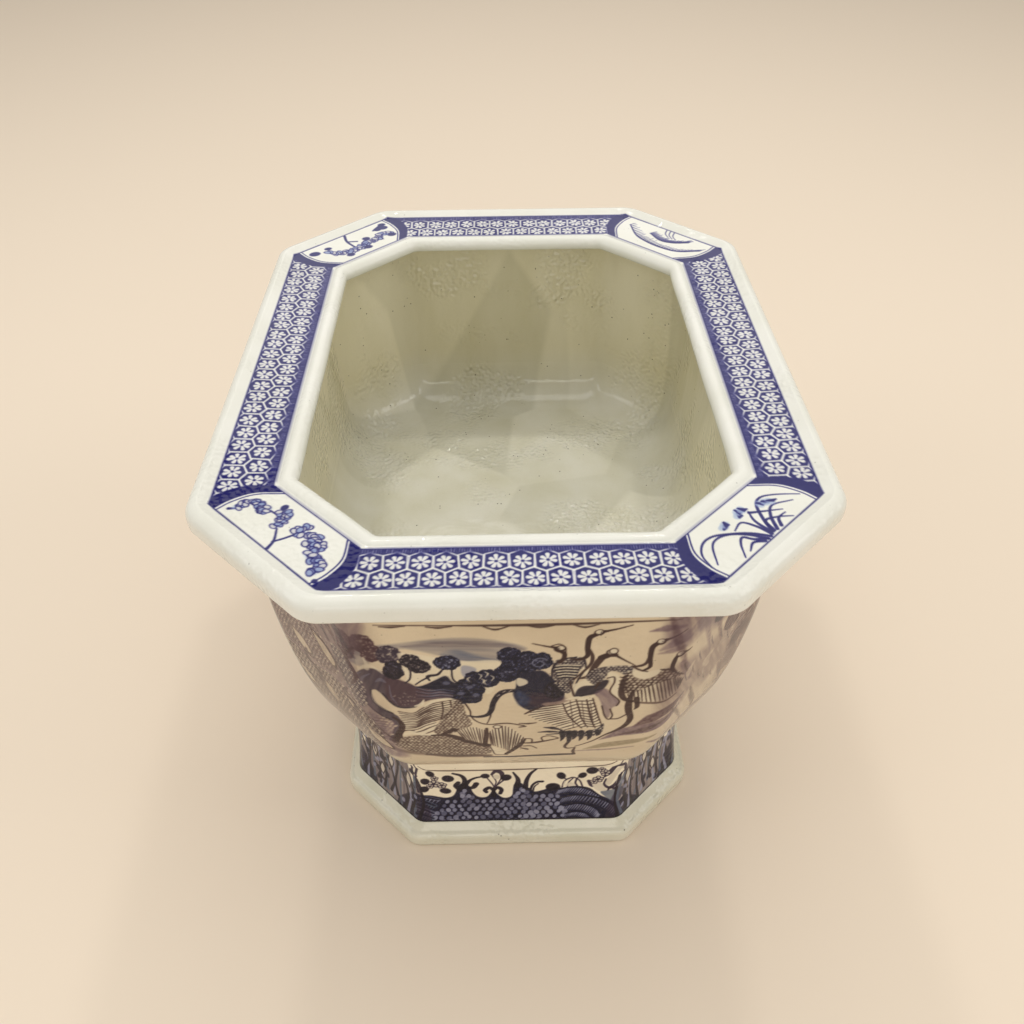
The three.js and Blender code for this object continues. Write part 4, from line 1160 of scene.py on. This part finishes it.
def rock_corner(art):
    """Dense rocks and scrub with a few bare leaves, washed in violet brown."""
    art.fill([(-50, 300), (50, 300), (51, 262), (44, 246), (50, 214), (52, 150), (46, 128),
              (-48, 128), (-52, 200)], VIOLET, 0.82, 6, streak=(58, 22, 3, 0.45), seed=44)
    for k in range(8):
        x = -44 + 11 * k
        art.brush([(x - 6, 294), (x + 4, 272), (x + 14, 252)], (2, 7, 1.5), (MAROON, PLUM)[k % 2],
                  0.75, 2.0, dry=0.55, seed=45)
    art.fill([(-50, 296), (-10, 298), (6, 280), (-2, 262), (-30, 244), (-50, 240)], MAROON, 0.6, 5,
             streak=(70, 20, 3, 0.5), seed=48)
    pebbles(art, [(-46, 262), (-16, 266), (8, 254), (24, 236), (20, 214), (-8, 206), (-34, 214)],
            3.4, MAROON, PALE, 0.7, 50, 1.5, 0.24)
    pebbles(art, [(-44, 204), (-12, 200), (20, 204), (42, 184), (44, 150), (12, 138), (-30, 150)],
            3.6, UMBER, PALE, 0.66, 60, 1.7, 0.25)
    pebbles(art, [(26, 250), (42, 244), (48, 214), (40, 196), (30, 210)], 3.0, PLUM, PALE,
            0.75, 70)
    for leaf in ([(6, 246), (16, 243), (24, 230), (20, 222), (12, 230)],
                 [(-22, 230), (-12, 226), (-6, 214), (-12, 210), (-20, 218)],
                 [(24, 198), (30, 192), (32, 180), (26, 176), (22, 186)],
                 [(-4, 186), (4, 180), (6, 168), (0, 164), (-6, 174)],
                 [(34, 168), (44, 160), (48, 144), (40, 148), (34, 156)],
                 [(-36, 178), (-28, 172), (-24, 160), (-32, 162)]):
        bare_leaf(art, leaf, CREAM, UMBER, (0.8, 1.5, 1.0), 0.92)
    strokes(art, MAROON, ([(-40, 246), (-20, 248), (4, 250), (20, 240), (30, 222), (36, 206)],
                          (1.4, 2.6, 1.6)),
            ([(28, 206), (22, 196), (30, 186), (24, 172), (30, 158), (40, 144)], (2, 6, 5, 2)),
            ([(-12, 214), (-16, 202), (-6, 192), (-10, 178), (0, 160), (12, 142)], (2, 5, 4, 2)),
            ([(48, 262), (40, 250), (44, 232), (36, 218)], (2, 4, 2)))
    for k in range(16):
        x, y = -46 + 6 * k, 172 + 12 * math.sin(k * 2.3)
        strokes(art, (UMBER, PALE, MAROON)[k % 3],
                ([(x, y + 12), (x + 3, y), (x + 9, y - 12), (x + 16, y - 22)], (0.5, 1.1, 0.5)),
                strength=0.7)
    art.fill([(-52, 304), (50, 306), (56, 220), (40, 134), (4, 116), (-40, 130), (-58, 220)],
             UMBER, 0.26, 16, streak=(58, 30, 5, 0.7), seed=49)


def neck_line(art, left, right):
    """Thin scalloped line where the wall meets the lip."""

    def sag(x):
        return 2.2 * math.sin(math.pi * (x - left) / (right - left))

    art.brush([(x, 283.5 - sag(x)) for x in np.linspace(left, right, 9)],
              (0.6, 1.2, 2.4, 1.8, 0.7), UMBER, 0.88)
    middle = (left + right) / 2
    for x, dip in ((left + 3, 0.6), (left + 30, 1.0), (middle - 26, 2.6), (middle, 1.2),
                   (middle + 26, 2.2)):
        level = 282.5 - sag(x + 7)
        art.brush([(x, level), (x + 7, level - dip), (x + 15, level)], (0.8, 1.8, 0.7), UMBER,
                  0.85)


def paint_bowl(art):
    """The scene on every broad side, and washed rocks on the narrow ones."""
    for side, flip, left, right in (("front", False, -84, 94), ("back", True, -84, 94),
                                    ("right", True, -120, 120), ("left", False, -120, 120)):
        for end in (-136, 136) if side in ("right", "left") else ():
            cloud_corner(art.on(side, end, 30, 0.85))
        pine_hill(art.on(side, flip=flip))
        crane_flock(art)
        neck_line(art, left, right)
    for side, corner in zip(SIDES[1::2], (cloud_corner, rock_corner) * 2):
        corner(art.on(side, flip=corner is cloud_corner))


paint_bowl(bowl_art)

ring_rows = [(bowl_inset(h), h, BOWL_CORNER) for h in np.linspace(SEAM, RING_HEAD, 13)]
ring_back = (straight_rows((SPIGOT_BACK, RING_HEAD, STAND_CORNER),
                           (SPIGOT_BACK, SPIGOT_FOOT, STAND_CORNER))
             + [(SPIGOT_OUT + SPIGOT_EDGE * (1 - math.sin(a)),
                 SPIGOT_FOOT + SPIGOT_EDGE * (1 - math.cos(a)), STAND_CORNER)
                for a in np.linspace(0, math.pi / 2, 6)]
             + [(SPIGOT_OUT, SEAM, STAND_CORNER)])
show(painted_mesh("bowl_foot_ring_glazed", ring_rows + ring_back, columns(1.2, 2.0), bowl_art,
                  WIDEST, len(ring_rows)),
     "jardiniere", "foot_ring_glaze", "bowl_foot_ring", painted_glaze, bare_clay)

# painted light: from 208 mm down to 158 mm the celadon turns paler, for the cove and floor lit
# from above; painted shade darkens broad flats at random, as facets that catch the light unevenly
celadon = glaze("celadon", (0.77, 0.72, 0.53), (0.88, 0.87, 0.79), specks=0.9,
                gloss=(0.04, 0.11), streaks=(1, 1, 0.3), ripple=0.16, peel=1.0,
                painted_light_below=((0.80, 0.79, 0.70), 0.158, 0.208), facet_shade=0.9)
wall_rows = [(bowl_inset(h), h, BOWL_CORNER) for h in np.linspace(RING_HEAD, WALL_TOP, 289)]
wall_back = [(inset + BOWL_THICK, h, INNER_CORNER) for inset, h, _ in wall_rows[::-6]]
show(painted_mesh("bowl_wall_painted", wall_rows + wall_back, columns(0.62, 1.25), bowl_art,
                  WIDEST, len(wall_rows)),
     "jardiniere", "bowl_glaze", "bowl_wall", painted_glaze, celadon)

# --- Bowl floor --------------------------------------------------------------------------------
# Flat pan of clay let into the wall, under the same thick celadon, painted paler here as painted
# light for the floor lit from above. Its solid is as flat as the real one, so it is shown as it
# stands and only takes the glaze.

dress("bowl_floor", celadon)

# --- Bowl cove ---------------------------------------------------------------------------------
# Coil of clay pressed into the corner between the pan and the wall and wiped hollow with a
# finger, so that the glaze runs from one to the other without an edge.

PAN_TOP, COVE_TOP, COVE_TOE = 156.0, 192.0, 82.0
cove_head = (bowl_inset(COVE_TOP) + BOWL_THICK - 0.2, COVE_TOP)
cove_pull = (bowl_inset(165) + BOWL_THICK, PAN_TOP + 1.2)
cove_foot = (COVE_TOE, PAN_TOP - 0.4)
cove_rows = [(bowl_inset(h) + BOWL_THICK + 0.1, h, INNER_CORNER)
             for h in np.linspace(PAN_TOP, COVE_TOP - 1, 6)]
cove_rows += [tuple((1 - s) ** 2 * a + 2 * s * (1 - s) * b + s ** 2 * c
                    for a, b, c in zip(cove_head, cove_pull, cove_foot)) + (INNER_CORNER,)
              for s in np.linspace(0, 1, 25)]
show(member_mesh("bowl_cove_glazed", octagon_skin(cove_rows, columns(2.5, 3))),
     "jardiniere", "inner_glaze", "bowl_cove", celadon)

# --- Lip flange --------------------------------------------------------------------------------
# Flanged lip with a rolled outer edge, a band that dips towards the opening and a bead round it.
# Pressed in a mould and luted on the wall, then painted in cobalt: two rows of hexagons with a
# flower in each, and a white panel with a plant on every narrow side.

COBALT = swatch(8, 8, 90)
MILK = swatch(228, 228, 220)
SKY = swatch(160, 176, 206)
BAND_OUTER, BAND_INNER = 13.6, 48.7
LIP_TOP, LIP_CORNER, LIP_CORNER_TAPER = 329.0, 22.0, 0.23
UNDER_EDGE, LIP_ROLL, BEAD, BEAD_HEIGHT = 4.0, 7.4, 6.2, 318.6
HEX_PITCH, HEX_TALL, HEX_SHORT, ROW_PITCH = 13.9, 9.0, 5.5, 14.5
BEAD_WAVER, WAVER_SWELLS = 0.006, 38


def lip_unroll(side, points):
    """Millimetres along one side and in from the lip's outer edge, laid out as seen from above."""
    x, y = side_points(side, np.zeros(1), np.full(1, LIP_CORNER), np.zeros(1))
    along, outward = side_axes(side)
    middle = np.array((x[0] + LIP_WIDTH / 2, y[0]))
    return middle + points[:, :1] * along - points[:, 1:] * outward


lip_art = Painting(LIP_WIDTH, -LIP_LENGTH / 2, LIP_LENGTH / 2, 0.4, MILK, lip_unroll, wraps=False)


def flower_hexagon(art, s, q):
    """One cell of the border: a bare hexagon round a bare seven-petalled flower."""
    corners = [(0, HEX_TALL), (HEX_PITCH / 2, HEX_SHORT), (HEX_PITCH / 2, -HEX_SHORT),
               (0, -HEX_TALL), (-HEX_PITCH / 2, -HEX_SHORT), (-HEX_PITCH / 2, HEX_SHORT)]
    ring = np.array(corners + corners[:1]) + (s, q) + hand.uniform(-0.6, 0.6, (7, 2))
    art.brush(ring, 1.15, MILK, 0.85, 0.7, fine=0)
    s, q = s + hand.uniform(-0.5, 0.5), q + hand.uniform(-0.4, 0.4)
    start = hand.uniform(0, 1)
    for k in range(7):
        a = start + 2 * math.pi * (k + hand.uniform(-0.12, 0.12)) / 7
        reach = hand.uniform(3.9, 4.8)
        tip = (s + reach * 0.95 * math.cos(a), q + reach * 1.05 * math.sin(a))
        art.brush([(s, q), tip], (0.4, 1.8, 2.8), MILK, 0.95, 0.7, fine=2)
    art.dab(s + hand.uniform(-0.3, 0.3), q, 1.05, COBALT, 0.95, 0.6)


def diaper_band(art, side, strip_outside):
    """Cobalt band with two rows of hexagons and a combed strip along one edge."""
    art.on(side)
    ends = [side_half(side, q) + 30 for q in (BAND_OUTER, BAND_INNER)]
    art.fill([(-ends[0], BAND_OUTER), (ends[0], BAND_OUTER), (ends[1], BAND_INNER),
              (-ends[1], BAND_INNER)], COBALT, 0.97, 0.9, fine=0)
    lower = 28.0 if strip_outside else 21.6
    for row in (0, 1):
        for n in range(-14, 15):
            s = n * HEX_PITCH + (8.5 if row == 0 else 1.6)
            if abs(s) < side_half(side, BAND_INNER) + 22:
                flower_hexagon(art, s, lower + ROW_PITCH * row)
    low, high = (BAND_OUTER, 20.0) if strip_outside else (44.0, BAND_INNER)
    art.fill([(-ends[0], low), (ends[0], low), (ends[0], high), (-ends[0], high)], COBALT, 0.85,
             1.2, fine=0, streak=(0, 30, 6, 0.35), seed=71)
    for s in np.arange(-ends[0], ends[0], 1.5):
        art.brush([(s, low + 0.8), (s + hand.uniform(-0.4, 0.4), high - 0.8)], 0.5, MILK,
                  hand.uniform(0.1, 0.6), 0.6, fine=0)
    for q in (BAND_OUTER + 0.4, BAND_INNER - 0.4):
        art.brush([(-ends[0], q), (ends[0], q)], 1.3, COBALT, 0.95, 1.0, fine=0)


def mirrored(points):
    """Smooth half outline with its mirror image."""
    half = curve(points).tolist()
    return half + [(-x, q) for x, q in half[::-1]]


def cartouche(art, side, plant):
    """White panel with rounded ends on a narrow side, edged by thick crescents and a fine line."""
    art.on(side)
    outer = [(-57, 15.2), (-56, 30), (-51, 43), (-40, 54.8)]
    panel = [(-46.5, 16.4), (-46.8, 27), (-43, 41), (-32, 53.7)]
    art.fill(mirrored(outer), COBALT, 0.98, 0.8, fine=0)
    art.fill(mirrored(panel), MILK, 1, 0.6, fine=0)
    for sign in (-1, 1):
        line = [(sign * (abs(x) - 1.9), q) for x, q in panel]
        art.brush(line, 0.9, COBALT, 0.95)
    plant(art)


def petal_loops(art, line, size, count):
    """Cluster of looped petals along a line, over a pale wash."""
    art.brush(line, size * 1.7, SKY, 0.75, 2.0, dry=0.5, seed=73)
    for x, y in spread(line, round(count * 1.5)):
        px, py = np.array((x, y)) + hand.uniform(-0.75, 0.75, 2) * size
        turn = hand.uniform(0, 180)
        art.dab(px, py, size * 0.68, COBALT, 0.8, 0.6, 1.45, turn)
        art.dab(px, py, size * 0.68 - 0.7, SKY if hand.rand() < 0.5 else MILK, 0.85, 0.6,
                1.45, turn)


def flowering_branch(art):
    """Forked branch with clusters of looped petals."""
    strokes(art, COBALT, ([(4.9, 17), (1.8, 23.7), (-5.7, 31)], (2.2, 1.6, 1.2)),
            ([(2.1, 22.6), (4.2, 29), (5.7, 36)], 1.5), ([(-21.9, 38.2), (-14, 39)], 1.4),
            ([(-40.5, 22), (-37, 26)], (2.6, 1.0)))
    petal_loops(art, [(-38.5, 26), (-37.5, 35), (-31, 36.5), (-26, 34), (-24.5, 38)], 3.0, 22)
    petal_loops(art, [(-9, 32.5), (-10.5, 38.5), (-12.5, 44), (-16.5, 41)], 3.0, 12)
    petal_loops(art, [(4.9, 45), (4.5, 38), (11, 40), (17, 42), (18.5, 36), (25, 39), (24, 31.5),
                      (30, 29.5), (36.5, 29), (38.5, 23)], 3.3, 38)
    art.dab(-18.7, 45.8, 2.2, COBALT, 0.95, 0.7, 1.3, 60)
    art.dab(45, 19.3, 1.8, COBALT, 0.95, 0.7)


def orchid(art):
    """Long arching leaves with small combed flowers."""
    strokes(art, COBALT, *((line, (2.3, 1.7, 0.8)) for line in (
        [(-1.4, 17.7), (-6.4, 26.9), (-13.1, 34.3), (-22.6, 41.7), (-31.8, 42.4), (-40.3, 36.8),
         (-45, 27)],
        [(-4.2, 17.7), (-8.5, 27.6), (-14.8, 35.4), (-22.6, 38.9), (-30.4, 36.8), (-41, 26)],
        [(-4.2, 17.7), (-9.9, 23.3), (-12.7, 29), (-18.4, 26.2), (-26.2, 18)],
        [(-7.1, 17.7), (-12.7, 21.9), (-19.8, 19.1)],
        [(0.7, 18.4), (0.7, 28.3), (-2.1, 36.8), (-10.6, 35.4)],
        [(2.1, 19.8), (4.2, 31.8), (9.2, 39.6)],
        [(2.8, 19.1), (9.2, 29.7), (17.7, 39.6), (25.5, 41.7), (33.9, 36.1), (43, 26.2)],
        [(4.2, 19.1), (8.5, 27.6), (16.3, 24), (22.6, 18)],
        [(6.4, 18.4), (14.1, 27.6), (23.3, 32.5), (35.4, 26.2)],
        [(10.6, 18.4), (15.6, 23.3), (22.6, 23.3)],
        [(8.5, 38.5), (14, 34), (24, 26)])))
    for x, y, turn in ((-14, 40.5, 40), (-11, 41, 60), (1, 40, 60), (4, 42, 80), (8, 41.5, 100),
                       (20, 36.5, 110), (24, 35.5, 120), (27, 34, 130)):
        a = math.radians(turn)
        art.dab(x + 2 * math.cos(a), y + 2 * math.sin(a), 2.6, SKY, 0.8, 1.2, 1.3, turn)
        for k in range(4):
            art.brush([(x + k * 0.9, y), (x + k * 0.9 + 4.4 * math.cos(a + k * 0.15),
                                          y + 4.4 * math.sin(a))], (1.4, 0.7), COBALT, 0.8, fine=0)


def fruiting_bush(art):
    """Low bush with a row of petals and round fruit."""
    strokes(art, COBALT, ([(-1, 17), (4, 27), (5, 40)], (2.4, 2.2, 2)), ([(4, 27), (-3, 32)], 1.8))
    petal_loops(art, [(-34, 38), (-26, 36), (-18, 40), (-10, 39), (-2, 42), (6, 43), (14, 41),
                      (22, 38), (27, 32)], 3.4, 52)
    for x, y, r in ((-39, 22, 2.6), (-36, 27, 3.4), (-34, 42, 3), (-12, 33, 2.6), (-4, 46, 2.8),
                    (16, 47, 2.6), (24, 26, 2.4), (38, 26, 3.6), (-30, 27, 2.4)):
        art.dab(x, y, r, COBALT, 0.95, 0.8, 1.35, 30)
    strokes(art, COBALT, ([(-40, 22), (-32, 24), (-26, 26)], (3.4, 2)))


def grass_tufts(art):
    """Two arching stems hung with short blades."""
    for line in ([(-40, 30), (-26, 42), (-10, 45), (6, 44), (20, 40), (36, 28)],
                 [(-24, 24), (-14, 32), (-2, 35), (12, 30)]):
        stem = spread(line, 34)
        art.brush(line, (1.6, 2.2, 1.0), COBALT, 0.9)
        for x, y in stem:
            strokes(art, COBALT, ([(x, y), (x - 1.2, y - 3.4), (x - 2.4, y - hand.uniform(4, 8))],
                                  (1.4, 0.9, 0.4)), strength=0.8)
    strokes(art, COBALT, *(([(x, 17), (x - 3, 23), (x - 9, 27)], (1, 0.6)) for x in (-4, 0, 4)))


def paint_lip(art):
    """Bands on the broad sides first, then a panel over their ends on each narrow side."""
    for side in ("front", "right", "back", "left"):
        diaper_band(art, side, side == "back")
    for side, plant in (("front_left", flowering_branch), ("front_right", orchid),
                        ("back_left", fruiting_bush), ("back_right", grass_tufts)):
        cartouche(art, side, plant)


def trim_rims(art):
    """Leaves the rolled edge and the bead bare of blue."""
    x, y = np.meshgrid(np.abs(art.x - LIP_WIDTH / 2), np.abs(art.y))
    inset = np.minimum(np.minimum(LIP_WIDTH / 2 - x, LIP_LENGTH / 2 - y),
                       (LIP_WIDTH / 2 + LIP_LENGTH / 2 - CORNER_CUT - x - y)
                       / (2 - CORNER_CUT_TAPER))
    bare = np.clip(np.maximum(BAND_OUTER - inset, inset - BAND_INNER) + 0.5, 0, 1)
    art.lay(slice(None), slice(None), bare, MILK)


paint_lip(lip_art)
trim_rims(lip_art)

lip_shares = columns(0.5, 0.7)
roll_rows = (arc_rows(UNDER_EDGE, WALL_TOP + UNDER_EDGE, UNDER_EDGE, -90, 0, 5, 0)
             + arc_rows(LIP_ROLL, LIP_TOP - LIP_ROLL, LIP_ROLL, 0, 90, 12, 0))
band_rows = straight_rows((LIP_ROLL, LIP_TOP, 0), (BAND_OUTER, 325.5, 0),
                          (BAND_INNER, 323.3, 0), pitch=0.55)
bead_rows = arc_rows(BAND_INNER + BEAD, BEAD_HEIGHT, BEAD, 45, 225, 26, 0)
painted_rows = roll_rows + band_rows[1:] + bead_rows
above = len(painted_rows)
lip_skin = octagon_skin([(inset, height, LIP_CORNER - LIP_CORNER_TAPER * inset)
                         for inset, height, _ in painted_rows + [(BAND_INNER, WALL_TOP, 0)]],
                        lip_shares)
# the bead was drawn out between finger and thumb, so its edge wavers, but not at the front
around = np.arange(lip_skin.shape[1]) / lip_skin.shape[1]
waver = (soft_noise(around * WAVER_SWELLS, 0 * around, 81) - 0.5) * BEAD_WAVER
waver *= np.clip((around - 0.12) * 20, 0, 1) * np.clip((0.99 - around) * 40, 0, 1)
bead = slice(above - len(bead_rows) + 8, above)
lip_skin[bead, :, :2] *= 1 + waver[:, None]
lip_mesh = member_mesh("lip_flange_painted", lip_skin, inside=above)
keep_colours(lip_mesh, lip_art.at(lip_skin[..., 0] + LIP_WIDTH / 2, lip_skin[..., 1]))
lip_glaze = glaze("lip_glaze", "painted", (0.93, 0.93, 0.90), specks=0.3, gloss=(0.06, 0.16),
                  ripple=0.06, peel=0.3, shine=0.28)
under_glaze = glaze("under_lip_glaze", (0.70, 0.66, 0.55), (0.85, 0.80, 0.74), specks=0.4)
show(lip_mesh, "jardiniere", "lip_glaze", "lip_flange", lip_glaze, under_glaze)
